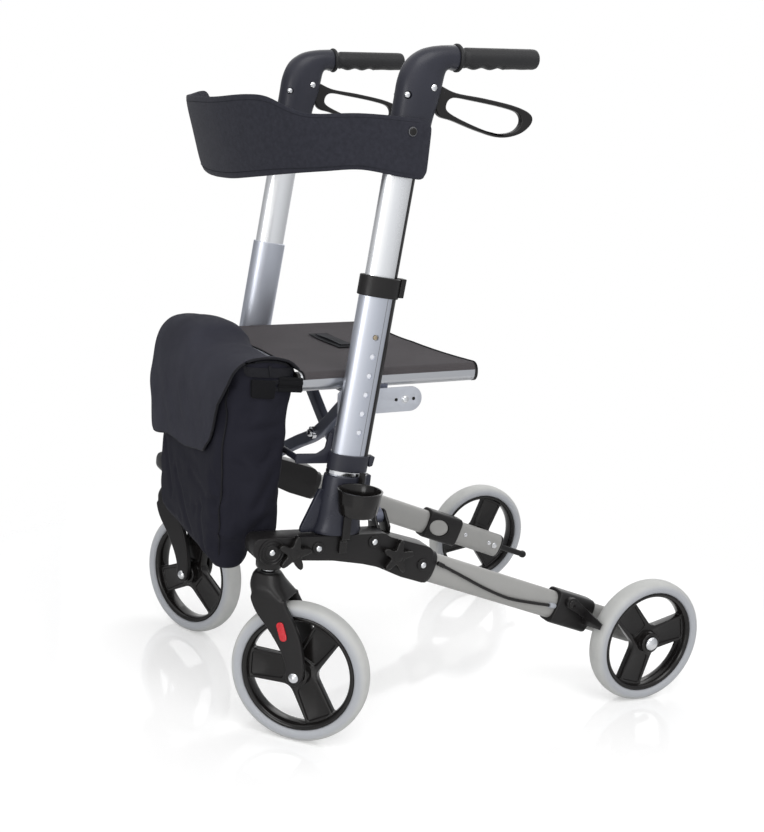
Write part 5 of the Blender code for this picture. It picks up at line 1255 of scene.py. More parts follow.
for arm_name, side in (("brace_arm_a", 1), ("brace_arm_b", -1)):
    plane, depth = (fold_point(0, 0), X * side, fold_up, fold_along), side * 0.009
    stop = 1 - (RAIL_HIGH + 0.002) / math.hypot(*RAIL)
    way = smooth_curve([FOOT, (FOOT[0] * 0.45, FOOT[1] * 0.45), (0.0, 0.0), (-RAIL[0] * 0.5, RAIL[1] * 0.5),
                        (-RAIL[0] * stop, RAIL[1] * stop)], 8)
    bar = slab(band(way, [ARM_WIDE] * len(way), (True, False)), plane, depth - ARM_HALF, depth + ARM_HALF)
    soften(bar, 0.0022, 4, 50)
    block = rounded([(-0.1835, 0.1205), (-0.1815, 0.1082), (-0.1635, 0.1072), (-0.1595, 0.1205)], 0.003)
    cradle = slab(block, plane, depth - 0.022, depth + 0.022)
    cut(cradle, rolled([rail_ring(-side, at, 0.0003) for at in (-0.2, 0.2)]))
    soften(cradle, 0.0008, 2, 50)
    done(smooth(together(bar, cradle), 40), arm_name + "_bar", arm_name, "arm_paint", [arm_name])
pivot = turned([(0.0, -0.0282), (0.0028, -0.0280), (0.0052, -0.0268), (0.0064, -0.0246), (0.0066, -0.0225),
                (0.0095, -0.0221), (0.0095, -0.0158), (0.0040, -0.0158), (0.0040, -0.0022), (0.0095, -0.0022),
                (0.0095, 0.0022), (0.0040, 0.0022), (0.0040, 0.0158), (0.0095, 0.0158), (0.0095, 0.0188),
                (0.0066, 0.0192), (0.0066, 0.0240), (0.0, 0.0246)], fold_point(0, 0), fold_along, 48)
done(smooth(pivot, 40), "brace_pivot_bolt", "brace_arm_a", "chrome", ["brace_pivot"])

# %% Rails and their caps
RAIL_FRONT, RAIL_REAR, RAIL_WALL = -0.124, 0.1580, 0.002
CAP_RINGS = [(-0.012, -0.0023), (0.0002, -0.0023), (0.0002, 0.0001), (-0.0034, 0.0001), (-0.0034, 0.0005),
             (0.0008, 0.0005), (0.0014, 0.0), (0.0017, -0.0012), (0.0018, -0.0050)]
for name, side, carrier in (("left", 1, "brace_arm_b"), ("right", -1, "brace_arm_a")):
    rail = rolled([rail_ring(side, RAIL_FRONT), rail_ring(side, RAIL_REAR),
                   rail_ring(side, RAIL_REAR, -RAIL_WALL), rail_ring(side, RAIL_FRONT, -RAIL_WALL)],
                  closed=True)
    done(smooth(rail, 40), name + "_rail_tube", carrier, "rail_aluminium", [name + "_seat_rail"])
    caps = [rolled([rail_ring(side, end + way * s, grow) for s, grow in CAP_RINGS])
            for end, way in ((RAIL_FRONT, -1), (RAIL_REAR, 1))]
    done(smooth(together(*caps), 40), name + "_rail_caps", carrier, "black_plastic")


# %% The seat: one sheet from rail to rail
def sheet_of(rows):
    """An open sheet through rows of points, with a UV map in metres."""
    rows = [list(map(Vector, row)) for row in rows]
    wide, high = len(rows[0]), len(rows)
    bpy.ops.mesh.primitive_grid_add(x_subdivisions=wide - 1, y_subdivisions=high - 1)
    piece = bpy.context.object
    piece.data.vertices.foreach_set("co", [value for row in rows for point in row for value in point])
    across_way, along_way = [0.0], [0.0]
    for a, b in zip(rows[high // 2], rows[high // 2][1:]):
        across_way.append(across_way[-1] + (b - a).length)
    for a, b in zip(rows, rows[1:]):
        along_way.append(along_way[-1] + (b[wide // 2] - a[wide // 2]).length)
    for corner in piece.data.uv_layers[0].data:
        u, v = corner.uv
        corner.uv = (across_way[min(round(u * (wide - 1)), wide - 1)],
                     along_way[min(round(v * (high - 1)), high - 1)])
    return piece


def seat_dip(share):
    """How much lower the seat's right half hangs, at a share of the way to a rail."""
    return 0.0022 * math.sin(math.pi * min(max(-share, 0), 1))


def seat_line(along, lift, sag):
    """Across the seat at one distance along it: round the left rail, over the sag, round the right."""
    a, b = RAIL_WIDE + SEAT_GAP + lift, RAIL_HIGH + SEAT_GAP + lift
    power = 2 / 2.2
    edge = [(RAIL[0] + a * max(math.cos(t), 0.0) ** power, RAIL[1] + b * max(math.sin(t), 0.0) ** power)
            for t in (math.radians(18 + 6 * k) for k in range(13))]
    middle = []
    for i in range(1, 48):
        share = 1 - 2 * i / 48
        middle.append((RAIL[0] * share, RAIL[1] + b - sag * (1 - share ** 2) - seat_dip(share)))
    line = edge + middle + [(-x, z) for x, z in reversed(edge)]
    half = (SEAT_FRONT + SEAT_BACK) / 2
    out = []
    for x, z in line:
        bow = max(1 - (x / RAIL[0]) ** 2, 0)
        pull = 0.0075 * bow * min(max((half - along) / (half - SEAT_FRONT), 0), 1) ** 4
        pull -= 0.0080 * bow * min(max((along - half) / (SEAT_BACK - half), 0), 1) ** 4
        out.append(fold_point(x, z, along + pull))
    return out


SEAT_FRONT, SEAT_BACK = RAIL_FRONT + 0.008, RAIL_REAR - 0.0005
SEAT_GAP, SEAT_SAG = 0.0006, 0.0036
seat_rows = [seat_line(SEAT_FRONT + (SEAT_BACK - SEAT_FRONT) * i / 40, 0.0,
                       SEAT_SAG + 0.0007 * math.sin(math.pi * i / 40)) for i in range(41)]
seat = sheet_of(seat_rows)
applied(seat, "SOLIDIFY", thickness=0.0013, offset=1)
hem = together(*[swept(seat_line(edge, 0.0003, SEAT_SAG), 0.0013, 8) for edge in (SEAT_FRONT, SEAT_BACK)])
done(smooth(seat, 50), "seat_mesh_sheet", None, "seat_mesh", ["seat_cloth"])
done(smooth(hem, 50), "seat_hems", None, "seat_border")

# %% The pull strap in its slit
STRAP_AT = -0.042


def seat_top(x):
    """The height of the seat's upper face."""
    share = x / RAIL[0]
    return RAIL[1] + RAIL_HIGH + SEAT_GAP - 0.0042 * (1 - share ** 2) - seat_dip(share)


def strip_on_seat(from_x, wide, from_y, deep, lift, rise, count):
    """A strip on top of the seat, lifted, and risen in its middle."""
    rows = []
    for k in range(5):
        row = []
        for i in range(count + 1):
            x = from_x + wide * i / count
            height = seat_top(x) + lift + rise * math.sin(math.pi * i / count) ** 2
            row.append(fold_point(x, height, from_y + deep * k / 4))
        rows.append(row)
    return sheet_of(rows)


slit = strip_on_seat(STRAP_AT - 0.058, 0.116, 0.013, 0.032, 0.0015, 0.0, 24)
applied(slit, "SOLIDIFY", thickness=0.0007, offset=1)
pull = strip_on_seat(STRAP_AT - 0.048, 0.096, 0.0205, 0.017, 0.0026, 0.0016, 32)
applied(pull, "SOLIDIFY", thickness=0.0014, offset=1)
done(smooth(slit, 50), "seat_slit_patch", None, "seat_border")
done(smooth(pull, 50), "pull_strap_webbing", None, "webbing", ["seat_pull_strap"])
for piece in (seat, hem, slit, pull):
    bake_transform(piece)
print("brace and seat")

# %% [markdown]
# ## The back strap
# A padded band runs round the front of both handles. It is a soft foam core in a knitted sleeve, so
# its section is a rounded slab, a little thicker in the middle, and its edges wander as foam edges
# do. Each end is buttoned to a handle. It is rolled from many such sections along one curve.

# %% The band
STRAP_INNER = column_at(0.800).x + 0.0198
STRAP_RUN, STRAP_LEAN = -0.474, 0.030
STRAP_DEPTH_LOW, STRAP_DEPTH_TOP = 0.177, 0.214
STRAP_HALF = 0.0035
STRAP_TOP = smooth_curve([(0.0, 0.8595), (0.05, 0.8594), (0.12, 0.8570), (0.20, 0.8500), (0.245, 0.8530),
                          (0.30, 0.8650), (0.35, 0.8655), (0.44, 0.8590), (0.52, 0.8580), (0.60, 0.8590),
                          (0.68, 0.8630), (0.74, 0.8700), (0.765, 0.8700), (0.79, 0.8610), (0.86, 0.8590),
                          (1.0, 0.8595)], 6)
STRAP_LOW = smooth_curve([(0.0, 0.7805), (0.04, 0.7824), (0.12, 0.7862), (0.20, 0.7787), (0.28, 0.7702),
                          (0.36, 0.7611), (0.44, 0.7532), (0.50, 0.7512)], 6)


def level(table, at):
    """The height of a table's curve at a place along it."""
    for (a, low), (b, high) in zip(table, table[1:]):
        if at <= b:
            return low + (high - low) * (at - a) / (b - a)
    return table[-1][1]


def strap_section(t, count=56):
    """The section at t, from 0 at the left handle to 1 at the right."""
    lean, squareness = STRAP_LEAN, 2.3
    angle = math.pi * min(max((t - lean) / (1 - 2 * lean), 0), 1)
    c, s = math.cos(angle), math.sin(angle)
    low, high = level(STRAP_LOW, min(t, 1 - t)), level(STRAP_TOP, t)
    run = STRAP_RUN - 0.029 * min(t, 1 - t, lean) / lean
    end = min(min(t, 1 - t) / 0.012, 1)
    thick = STRAP_HALF * (0.55 + 0.45 * math.sqrt(end))
    trim = 0.010 * (1 - math.sqrt(1 - (1 - end) ** 2))
    ring = []
    for i in range(count):
        a = 2 * math.pi * i / count
        up = math.copysign(abs(math.sin(a)) ** (2 / 7.0), math.sin(a))
        out = math.copysign(abs(math.cos(a)) ** (2 / 2.6), math.cos(a))
        half = (high - low) / 2 - trim
        z = (low + high) / 2 + up * half
        share = (z - low) / (high - low)
        depth = STRAP_DEPTH_LOW + (STRAP_DEPTH_TOP - STRAP_DEPTH_LOW) * share
        offset = STRAP_HALF + thick * out * (1 - 0.25 * abs(up) ** 6)
        offset += 0.0007 * noise.noise(Vector((t * 21, up * 1.3, 4.0))) * s
        x = (STRAP_INNER + offset) * math.copysign(abs(c) ** (2 / squareness), c)
        y = run - (depth + offset) * abs(s) ** (2 / squareness)
        ring.append(Vector((x, y, z)))
    return ring


strap_rings = [strap_section(i / 260) for i in range(261)]
strap = rolled(strap_rings)
strap_length = sum((sum(b, Vector()) - sum(a, Vector())).length / len(a)
                   for a, b in zip(strap_rings, strap_rings[1:]))
done(smooth(strap, 50), "back_strap_pad", "left_handle", "strap_foam", ["back_strap"])
print(f"back strap {strap_length:.3f} m long")


# %% Its seams and its buttons
def strap_line(share, off, start, end, count):
    """Points on the strap's outer face at a share of its height."""
    points = []
    for i in range(count + 1):
        ring = strap_section(start + (end - start) * i / count)
        low, high = min(p.z for p in ring), max(p.z for p in ring)
        z = low + (high - low) * share
        best = min(ring[:15] + ring[-14:], key=lambda p: abs(p.z - z))
        middle = sum(ring, Vector()) / len(ring)
        way = Vector((best.x - middle.x, best.y - middle.y, 0)).normalized()
        points.append(Vector((best.x, best.y, z)) + way * off)
    return points


seam = together(*[swept(strap_line(share, -0.0004, 0.02, 0.98, 240), 0.0006, 6) for share in (0.07, 0.93)])
done(smooth(seam, 60), "back_strap_seams", "left_handle", "thread")
for piece in (strap, seam):
    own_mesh(piece)
for name, side in SIDES.items():
    face = Vector((side * (column_at(0.842).x + 0.0275), *STRAP_BOLT))
    ringed = turned([(0.0064, -0.0060), (0.0064, 0.0006), (0.0060, 0.0012), (0.0052, 0.0014)],
                    face, X * side, 40)
    cap = dome(face + X * side * 0.0012, X * side, 0.0052, 0.0018, 32)
    done(smooth(ringed, 40), name + "_strap_button_ring", name + "_handle", "dark_steel")
    done(smooth(cap, 40), name + "_strap_button", name + "_handle", "gloss_black")
print("back strap")

# %% [markdown]
# ## The bag
# The bag hangs from two rods in front of the columns. It is thin nylon, so it is neither flat nor
# sharp: it bellies out between its seams and creases where it is held. A closed loft a little too
# small is blown up by Blender's cloth for twenty steps. Its movement is capped, folds and creases
# are pushed in, and its mouth is cut open again. Seams, webbing and buckle come after that.

# %% A loft for the pouch
BAG_LEVELS = [  # height, rear, front at the left and right, half width at the left and right, corner
    (0.2085, -0.6560, -0.6900, -0.6800, 0.1500, 0.1400, 0.016),
    (0.2140, -0.6520, -0.6940, -0.6820, 0.1570, 0.1450, 0.019),
    (0.2450, -0.6480, -0.6970, -0.6820, 0.1620, 0.1500, 0.020),
    (0.2700, -0.6160, -0.7010, -0.6820, 0.1790, 0.1620, 0.014),
    (0.3150, -0.6150, -0.7040, -0.6830, 0.1810, 0.1640, 0.012),
    (0.3500, -0.6145, -0.7060, -0.6840, 0.1830, 0.1660, 0.010),
    (0.3800, -0.6140, -0.7080, -0.6870, 0.1850, 0.1720, 0.010),
    (0.4200, -0.6140, -0.7085, -0.6900, 0.1865, 0.1780, 0.010),
    (0.4600, -0.6140, -0.7085, -0.6900, 0.1870, 0.1790, 0.010),
    (0.4950, -0.6140, -0.7060, -0.6870, 0.1870, 0.1780, 0.010),
    (0.5200, -0.6145, -0.7030, -0.6830, 0.1865, 0.1770, 0.010),
    (0.5420, -0.6150, -0.7010, -0.6820, 0.1865, 0.1765, 0.010),
]
CREST = smooth_curve([(-0.195, 0.5150), (-0.185, 0.5230), (-0.130, 0.5320), (-0.090, 0.5374),
                      (-0.040, 0.5396), (-0.010, 0.5360), (0.005, 0.5270), (0.030, 0.5195),
                      (0.060, 0.5187), (0.105, 0.5176), (0.140, 0.5210), (0.195, 0.5280)], 4)
FLAP_WAY = smooth_curve([(-0.6150, -0.0140), (-0.6270, -0.0045), (-0.6450, 0.0), (-0.6680, 0.0),
                         (-0.6900, -0.0055), (-0.7060, -0.0185), (-0.7150, -0.0375), (-0.7185, -0.0600),
                         (-0.7195, -0.0850), (-0.7190, -0.1100), (-0.7180, -0.1350), (-0.7175, -0.1550)], 5)
FLAP_WIDE, FLAP_REAR = 0.378, -0.612
FLAP_TOP = [(-y, drop) for y, drop in FLAP_WAY if drop > -0.050]


def flap_depth(x):
    """How much of its full depth the flap has at x: the bag is shallower at its right."""
    turn = min(max((-0.10 - x) / 0.089, 0), 1)
    return (1 - 0.15 * (FLAP_WIDE / 2 - x) / FLAP_WIDE) * (1 - 0.06 * turn * turn)


def flap_height(x, y):
    """The height of the flap's underside over a point of the bag's mouth."""
    return level(CREST, x) + level(FLAP_TOP, max(-FLAP_REAR - (y - FLAP_REAR) / flap_depth(x), 0.615))


def bag_ring(z, rear, front_left, front_right, left, right, corner):
    """A ring of the pouch at a height: four rounded corners."""
    ring = []
    for x, y, start in ((left - corner, rear - corner, 0), (corner - right, rear - corner, 90),
                        (corner - right, front_right + corner, 180),
                        (left - corner, front_left + corner, 270)):
        ring += [Vector((px, py, z)) for px, py in arc((x, y), corner, start, start + 90, 8)]
    return ring


pouch = rolled([bag_ring(*row) for row in BAG_LEVELS])
applied(pouch, "REMESH", mode="VOXEL", voxel_size=0.005)
print("pouch", len(pouch.data.vertices), "points")

# %% Cloth under a little pressure
BAG_CAP = 0.009
BAG_REAR, BAG_FRONT, BAG_BOTTOM, BAG_HALF = -0.6127, -0.7225, 0.2065, 0.1875
FORK_SWEEP = 0.0478
before = [v.co.copy() for v in pouch.data.vertices]
only(pouch)
cloth = pouch.modifiers.new("cloth", "CLOTH")
cloth.settings.quality = 5
cloth.settings.mass = 0.3
cloth.settings.tension_stiffness = 25
cloth.settings.compression_stiffness = 25
cloth.settings.shear_stiffness = 10
cloth.settings.bending_stiffness = 0.6
cloth.settings.use_pressure = True
cloth.settings.uniform_pressure_force = 4
cloth.settings.effector_weights.gravity = 0
for step in range(1, 21):
    bpy.context.scene.frame_set(step)
bpy.ops.object.modifier_apply(modifier=cloth.name)
bpy.context.scene.frame_set(1)


def bellied(start, end):
    """A point of the blown-up bag, not moved too far: behind the flap, before the rods, off the forks."""
    move = end - start
    if move.length > BAG_CAP:
        move *= BAG_CAP / move.length
    at = start + move
    at.y = min(at.y, BAG_REAR)
    under_flap = min(max((at.z - 0.335) / 0.02, 0), 1)
    at.y = max(at.y, BAG_FRONT + (-BAG_FRONT + FLAP_REAR - 0.1065 * flap_depth(at.x) + 0.0045) * under_flap)
    at.z = max(at.z, BAG_BOTTOM)
    if at.z < 0.300:
        at.x = min(max(at.x, -BAG_HALF), BAG_HALF)
    if at.z < 0.250:
        for side in (-1, 1):
            off = Vector((at.x - side * SIDE_X, at.y - STEM_Y, 0))
            if off.length < FORK_SWEEP:
                at += off.normalized() * (FORK_SWEEP - off.length)
    return at


FRONT_FOLDS = [((0.042, 0.330), (0.150, 0.318)), ((0.075, 0.285), (0.150, 0.318)),
               ((0.150, 0.318), (0.184, 0.345)), ((-0.040, 0.310), (0.060, 0.235)),
               ((0.100, 0.300), (0.120, 0.225)), ((-0.110, 0.340), (-0.060, 0.270))]
SIDE_FOLDS = [((-0.628, 0.372), (-0.655, 0.318)), ((-0.696, 0.424), (-0.625, 0.434)),
              ((-0.690, 0.335), (-0.662, 0.255)), ((-0.640, 0.300), (-0.668, 0.262))]


def fold_push(a, b, folds):
    """How deep the nearest of these lines presses the cloth in, and how it swells beside it."""
    push = 0.0
    for (a0, b0), (a1, b1) in folds:
        along = ((a - a0) * (a1 - a0) + (b - b0) * (b1 - b0)) / ((a1 - a0) ** 2 + (b1 - b0) ** 2)
        near = min(max(along, 0), 1)
        away = math.hypot(a - a0 - (a1 - a0) * near, b - b0 - (b1 - b0) * near)
        push += 0.0034 * math.exp(-(away / 0.006) ** 2) - 0.0016 * math.exp(-((away - 0.014) / 0.007) ** 2)
    return push


for vertex, start in zip(pouch.data.vertices, before):
    at = bellied(start, vertex.co)
    if at.y < -0.690:
        at.y += fold_push(at.x, at.z, FRONT_FOLDS)
    elif at.x > 0.165:
        at.x -= fold_push(at.y, at.z, SIDE_FOLDS)
    crease = noise.noise(Vector((at.x * 9, at.y * 9 + 5, at.z * 26))) ** 2 * 0.0060
    crease += noise.noise(Vector((at.x * 34 + at.z * 14, at.y * 30, at.z * 12))) * 0.0012
    vertex.co = bellied(start, at - Vector((at.x * 0.6, at.y + 0.66, 0)).normalized() * crease)
applied(pouch, "SMOOTH", factor=0.5, iterations=3)
print("bellied")

# %% Cut the mouth open, give the cloth a thickness
MOUTH, STRETCH_FROM = 0.5300, 0.460
edit(pouch)
bpy.ops.mesh.bisect(plane_co=(0, 0, MOUTH), plane_no=(0, 0, 1), clear_outer=True, clear_inner=False)
leave()
mouth = [v.index for v in pouch.data.vertices if v.co.z > MOUTH - 1e-4]
for vertex in pouch.data.vertices:
    if vertex.co.z > STRETCH_FROM:
        top = flap_height(vertex.co.x, vertex.co.y) - 0.0040
        up = (vertex.co.z - STRETCH_FROM) * (top - STRETCH_FROM) / (MOUTH - STRETCH_FROM)
        vertex.co.z = STRETCH_FROM + up
rim = sorted((pouch.data.vertices[i].co.copy() for i in mouth),
             key=lambda p: math.atan2((p.y + 0.662) * 4, p.x))[::3]
applied(pouch, "SOLIDIFY", thickness=0.0018, offset=-1)
applied(pouch, "SUBSURF", levels=1, render_levels=1)
done(smooth(pouch, 60), "bag_pouch", "left_frame", "bag_nylon", ["bag"])


def looped(points, radius, count=8):
    """A round skin along a closed path."""
    size = len(points)
    return rolled([cable_ring(points[i], points[(i + 1) % size] - points[i - 1], radius, count)
                   for i in range(size)], closed=True)


binding = done(smooth(looped(rim, 0.0021), 60), "bag_mouth_binding", "left_frame", "webbing")
print("bag", len(pouch.data.polygons), "faces; mouth", len(rim), "points")

# %% The flap over the mouth
NEAR_EDGE = smooth_curve([(0.0, 0.1895), (0.030, 0.1915), (0.040, 0.1900), (0.060, 0.1770), (0.078, 0.1655),
                          (0.110, 0.1585), (0.135, 0.1500), (0.156, 0.1420)], 4)
flap_rows = []
for k, (y, drop) in enumerate(FLAP_WAY):
    t = k / (len(FLAP_WAY) - 1)
    row = []
    for i in range(121):
        share = i / 120
        near = level(NEAR_EDGE, -drop) - 0.036 * (1 - math.sqrt(1 - (max(t - 0.66, 0) / 0.3401) ** 2))
        far = 0.040 * (1 - math.sqrt(1 - (max(t - 0.60, 0) / 0.4001) ** 2)) - FLAP_WIDE / 2
        x = near - (near - far) * share
        hang = min(max((-drop - 0.030) / 0.050, 0), 1)
        soft = noise.noise(Vector((x * 14 + drop * 22, drop * 6, 7.0))) * 0.0042
        soft += noise.noise(Vector((x * 34, drop * 30, 1))) * 0.0009
        fold = 0.0016 * math.sin(x * 70 + drop * 60) * hang
        lean = 1 + 0.22 * (share - 0.4) * hang
        hem = 0.004 * hang * math.sin(math.pi * share * 1.6) ** 2
        yy = FLAP_REAR + (y - FLAP_REAR) * flap_depth(x)
        crest = level(CREST, x)
        z = crest + (0.523 - crest) * hang * 0.85 + drop * lean + soft * (1 - hang) * 0.35 - hem * t
        row.append(Vector((x, yy - max(soft + fold, -0.0008) * hang, z)))
    flap_rows.append(row)
flap = sheet_of(flap_rows)
applied(flap, "SOLIDIFY", thickness=0.0018, offset=1)
done(smooth(flap, 60), "bag_flap_sheet", "left_frame", "bag_nylon", ["bag_flap"])
edge_points = [row[0] for row in flap_rows] + flap_rows[-1][1:] + [row[-1] for row in flap_rows[-2::-1]]
edging = done(smooth(swept(edge_points, 0.0019, 8), 60), "bag_flap_edging", "left_frame", "webbing")


# %% Seams, band and webbing on the bag
def strip_on_bag(points, width, way, off, thick, name, rows=5):
    """A strip of webbing along points on the bag, its width towards way, laid on the cloth."""
    path = [Vector(p) for p in smooth_curve(points, 10)]
    strip = sheet_of([[p + way * width * (k / (rows - 1) - 0.5) for p in path] for k in range(rows)])
    strip.data.transform(Matrix.Translation(LAYOUT))
    applied(strip, "SHRINKWRAP", target=pouch, wrap_method="NEAREST_SURFACEPOINT",
            wrap_mode="ABOVE_SURFACE", offset=off)
    applied(strip, "SOLIDIFY", thickness=thick, offset=0)
    return done(smooth(strip, 60), name, "left_frame", "webbing", placed=True)


BAG_SIDE = 0.194
bag_bits = [binding, edging]
for label, first, last, height, wide in (("band", -0.693, -0.618, 0.5090, 0.013),
                                         ("bar_a", -0.650, -0.617, 0.4962, 0.006),
                                         ("bar_b", -0.650, -0.615, 0.4862, 0.005)):
    points = [(BAG_SIDE, first + (last - first) * k / 2, height) for k in range(3)]
    bag_bits.append(strip_on_bag(points, wide, Z, 0.0014, 0.0012, "bag_side_" + label))
for label, at_y in (("front", -0.6938), ("rear", -0.6547)):
    points = [(BAG_SIDE, at_y - 0.0015, 0.5185), (BAG_SIDE, at_y, 0.512), (BAG_SIDE, at_y + 0.0010, 0.5045)]
    bag_bits.append(strip_on_bag(points, 0.0045, Y, 0.0026, 0.0014, f"bag_{label}_loop"))
for side_of, x in (("left", 0.186), ("right", -0.184)):
    points = [(x * 0.93, -0.712, z) for z in (0.485, 0.440, 0.400, 0.340, 0.280, 0.235)]
    bag_bits.append(strip_on_bag(points, 0.003, X, 0.0010, 0.0016, side_of + "_bag_piping", rows=2))
buckle = moulded([(-0.681, 0.4745), (-0.648, 0.4735), (-0.648, 0.4985), (-0.683, 0.4995)], 0.003,
                 side_plane(0.1915), -0.0030, 0.0040, 0.0014)
bag_bits.append(done(smooth(buckle, 40), "bag_buckle", "left_frame", "webbing"))
tongues = []
for low, high, deep in ((0.4825, 0.5030, 0.0016), (0.4925, 0.4985, 0.0030), (0.4835, 0.4885, 0.0030)):
    tongue = [(-0.642, low), (-0.6062, low - 0.001), (-0.6062, high - 0.001), (-0.642, high)]
    tongues.append(moulded(tongue, 0.002, side_plane(0.1876), 0.0, deep, 0.0005, 2))
bag_bits.append(done(smooth(together(*tongues), 40), "bag_side_tongue", "left_frame", "webbing"))
for piece in [pouch, flap] + bag_bits:
    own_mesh(piece)
print("bag trimmed")

# %% [markdown]
# ## Cane holder
# A clip at the top of the left lower column and an open cup at its foot hold a walking stick. The
# cup is turned from one section that runs round its wall, so the wall is even and its rim is rounded.

# %% Cup, leg and clip
CUP_Y, CUP_Z = -0.539, 0.322
CLIP_LOW, CLIP_MIDDLE = 0.620, 0.634
cup_at = Vector((column_at(CUP_Z).x + 0.0220 + 0.0323, CUP_Y, CUP_Z))
cup = turned([(0.0, 0.0060), (0.0220, 0.0060), (0.0250, 0.0074), (0.0268, 0.0110), (0.0292, 0.0260),
              (0.0306, 0.0404), (0.0316, 0.0408), (0.0317, 0.0416), (0.0310, 0.0420), (0.0290, 0.0420),
              (0.0283, 0.0410), (0.0266, 0.0260), (0.0246, 0.0130), (0.0234, 0.0100), (0.0210, 0.0087),
              (0.0, 0.0085)],
             cup_at, Z, 80)
leg = moulded([(0.2268, 0.2620), (0.2308, 0.2620), (0.2308, 0.2790), (0.2362, 0.2840), (0.2362, 0.3240),
               (0.2322, 0.3240), (0.2322, 0.2865), (0.2268, 0.2815)], 0.001,
              (Y * CUP_Y, X, Z, Y), -0.0060, 0.0060, 0.0008, 2)
tie = moulded([(0.2290, 0.3200), (0.2310, 0.3200), (0.2318, 0.3780), (0.2298, 0.3780)], 0.0006,
              (Y * -0.522, X, Z, Y), -0.0045, 0.0045, 0.0006, 2)
done(smooth(together(cup, leg, tie), 35), "cane_holder_cup", "left_frame", "gloss_black", ["cane_cup"])
clip = rolled([column_oval(CLIP_LOW + z, COLUMN_LONG + grow, COLUMN_WIDE + grow, 96) for z, grow in (
    (0.0, 0.0003), (0.0, 0.0024), (0.0010, 0.0034), (0.0265, 0.0034), (0.0275, 0.0024), (0.0275, 0.0003))],
    closed=True)
rear_edge = column_at(CLIP_MIDDLE).y + COLUMN_LONG
block = [(rear_edge - 0.0012, 0.6205), (rear_edge + 0.0062, 0.6205), (rear_edge + 0.0084, 0.6465),
         (rear_edge + 0.0010, 0.6465)]
block = moulded(block, 0.001, side_plane(column_at(CLIP_MIDDLE).x + 0.004), -0.0075, 0.0075, 0.0010)
done(smooth(together(clip, block), 40), "cane_holder_clip", "left_frame", "black_plastic", ["cane_clip"])
print("cane holder")

# %% [markdown]
# ## Floor, light and camera
# The floor is pale and fades out before its edge, so the white world takes over without a horizon.
# Metal shows what is around it: a white room alone would make a tube look like paper, so four grey
# cards that only reflections can see stand around it, with two bright gaps between them. Those on
# both sides of the camera's gap grow brighter towards it. The lamps are large and soft.

# %% Floor
FLOOR_RADIUS, FADE_FROM, FADE_TO = 3.0, 0.55, 1.05
FLOOR_GLOW = 0.34
bpy.ops.mesh.primitive_circle_add(vertices=96, radius=FLOOR_RADIUS, fill_type="NGON", location=(0, 0, 0))
floor = bpy.context.object
floor.name = "floor"
paint = bpy.data.materials.new("pale_floor")
paint.use_nodes = True
tree = paint.node_tree
shader = tree.nodes["Principled BSDF"]
shader.inputs["Base Color"].default_value = (0.82, 0.82, 0.82, 1)
shader.inputs["Roughness"].default_value = 0.07
shader.inputs["Specular IOR Level"].default_value = 0.5
output = tree.nodes["Material Output"]
ray, place = tree.nodes.new("ShaderNodeLightPath"), tree.nodes.new("ShaderNodeTexCoord")
glow, both, fade, clear = (tree.nodes.new(kind) for kind in (
    "ShaderNodeEmission", "ShaderNodeAddShader", "ShaderNodeMixShader", "ShaderNodeBsdfTransparent"))
tree.links.new(math_node(tree, "MULTIPLY", ray.outputs["Is Camera Ray"], FLOOR_GLOW), glow.inputs["Strength"])
tree.links.new(shader.outputs[0], both.inputs[0])
tree.links.new(glow.outputs[0], both.inputs[1])
length = tree.nodes.new("ShaderNodeVectorMath")
length.operation = "LENGTH"
tree.links.new(place.outputs["Object"], length.inputs[0])
reach = tree.nodes.new("ShaderNodeMapRange")
reach.interpolation_type = "SMOOTHSTEP"
reach.inputs["From Min"].default_value = FADE_FROM
reach.inputs["From Max"].default_value = FADE_TO
tree.links.new(length.outputs["Value"], reach.inputs["Value"])
tree.links.new(reach.outputs["Result"], fade.inputs[0])
tree.links.new(both.outputs[0], fade.inputs[1])
tree.links.new(clear.outputs[0], fade.inputs[2])
tree.links.new(fade.outputs[0], output.inputs["Surface"])
floor.data.materials.append(paint)

# %% World
world = bpy.data.worlds.new("studio")
bpy.context.scene.world = world
world.use_nodes = True
tree = world.node_tree
background = tree.nodes["Background"]
background.inputs["Color"].default_value = (1, 1, 1, 1)
ray = tree.nodes.new("ShaderNodeLightPath")
seen = math_node(tree, "MAXIMUM", ray.outputs["Is Camera Ray"], ray.outputs["Is Glossy Ray"])
seen = math_node(tree, "MAXIMUM", seen, ray.outputs["Is Transmission Ray"])
ROOM_LIGHT = 0.74
tree.links.new(math_node(tree, "ADD", math_node(tree, "MULTIPLY", seen, 1 - ROOM_LIGHT), ROOM_LIGHT),
               background.inputs["Strength"])

# %% Camera
EYE = Vector((1.699913, -1.290709, 0.819319))
PICTURE_HIGH = 832
VIEW = Matrix(((0.44959647, -0.241133, 0.860069), (0.88629545, 0.000666, -0.463120),
               (0.11110076, 0.970492, 0.214014)))
camera_data = bpy.data.cameras.new("camera")
camera = bpy.data.objects.new("camera", camera_data)
bpy.context.scene.collection.objects.link(camera)
camera_data.sensor_width = 36
camera_data.lens = 53.747
camera_data.shift_x, camera_data.shift_y = -1 / PICTURE_HIGH, 4 / PICTURE_HIGH
camera.matrix_world = Matrix.Translation(EYE + LAYOUT) @ VIEW.to_4x4()
bpy.context.scene.camera = camera

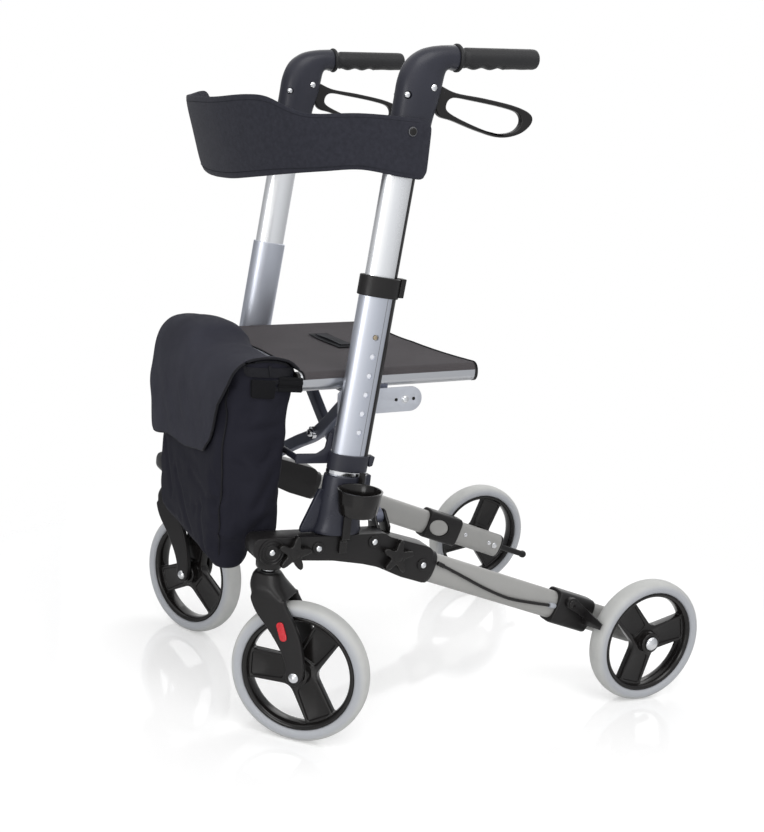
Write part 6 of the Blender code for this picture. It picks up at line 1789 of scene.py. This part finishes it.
# %% Lamps and grey cards
HEART = Vector((0, -0.35, 0.5)) + LAYOUT
CARD_RADIUS, CARD_HALF = 2.4, 1.5


def aimed(data, name, at):
    """A lamp at a place, aimed at the middle of the rollator."""
    thing = bpy.data.objects.new(name, data)
    bpy.context.scene.collection.objects.link(thing)
    thing.matrix_world = Matrix.Translation(at) @ (at - HEART).to_track_quat("Z", "Y").to_matrix().to_4x4()
    return thing


for name, at, size, power in (("key", (1.6, -0.3, 2.6), 1.6, 20), ("front", (1.93, -2.09, 0.85), 1.0, 12),
                              ("back", (-1.4, 1.6, 1.8), 1.4, 8)):
    lamp = bpy.data.lights.new(name, "AREA")
    lamp.size, lamp.energy = size, power
    aimed(lamp, name, Vector(at))
for name, first, last, near, far in (
        ("right_card", -7, 75, 0.88, 0.44), ("rear_card", 75, 125, 0.46, 0.46),
        ("far_card", 178, 240, 0.42, 0.38), ("left_card", 240, 304, 0.34, 0.66)):
    material = bpy.data.materials.new(name)
    material.use_nodes = True
    tree = material.node_tree
    card_glow = tree.nodes.new("ShaderNodeEmission")
    way, split = tree.nodes.new("ShaderNodeTexCoord"), tree.nodes.new("ShaderNodeSeparateXYZ")
    tree.links.new(way.outputs["UV"], split.inputs[0])
    card_glow.inputs["Color"].default_value = (0.96, 0.975, 1, 1)
    ramp = tree.nodes.new("ShaderNodeMapRange")
    ramp.inputs["From Max"].default_value = CARD_RADIUS * math.radians(last - first)
    ramp.inputs["To Min"].default_value, ramp.inputs["To Max"].default_value = near, far
    tree.links.new(split.outputs["X"], ramp.inputs["Value"])
    tree.links.new(ramp.outputs["Result"], card_glow.inputs["Strength"])
    tree.links.new(card_glow.outputs[0], tree.nodes["Material Output"].inputs["Surface"])
    angles = [math.radians(first + (last - first) * k / 16) for k in range(17)]
    card = sheet_of([[HEART + Vector((*polar(CARD_RADIUS, a), z)) for a in angles]
                     for z in (-CARD_HALF, CARD_HALF)])
    card.name = name
    card.data.materials.append(material)
    card.visible_camera = card.visible_diffuse = card.visible_shadow = card.visible_transmission = False
bpy.context.scene.view_settings.view_transform = "Standard"
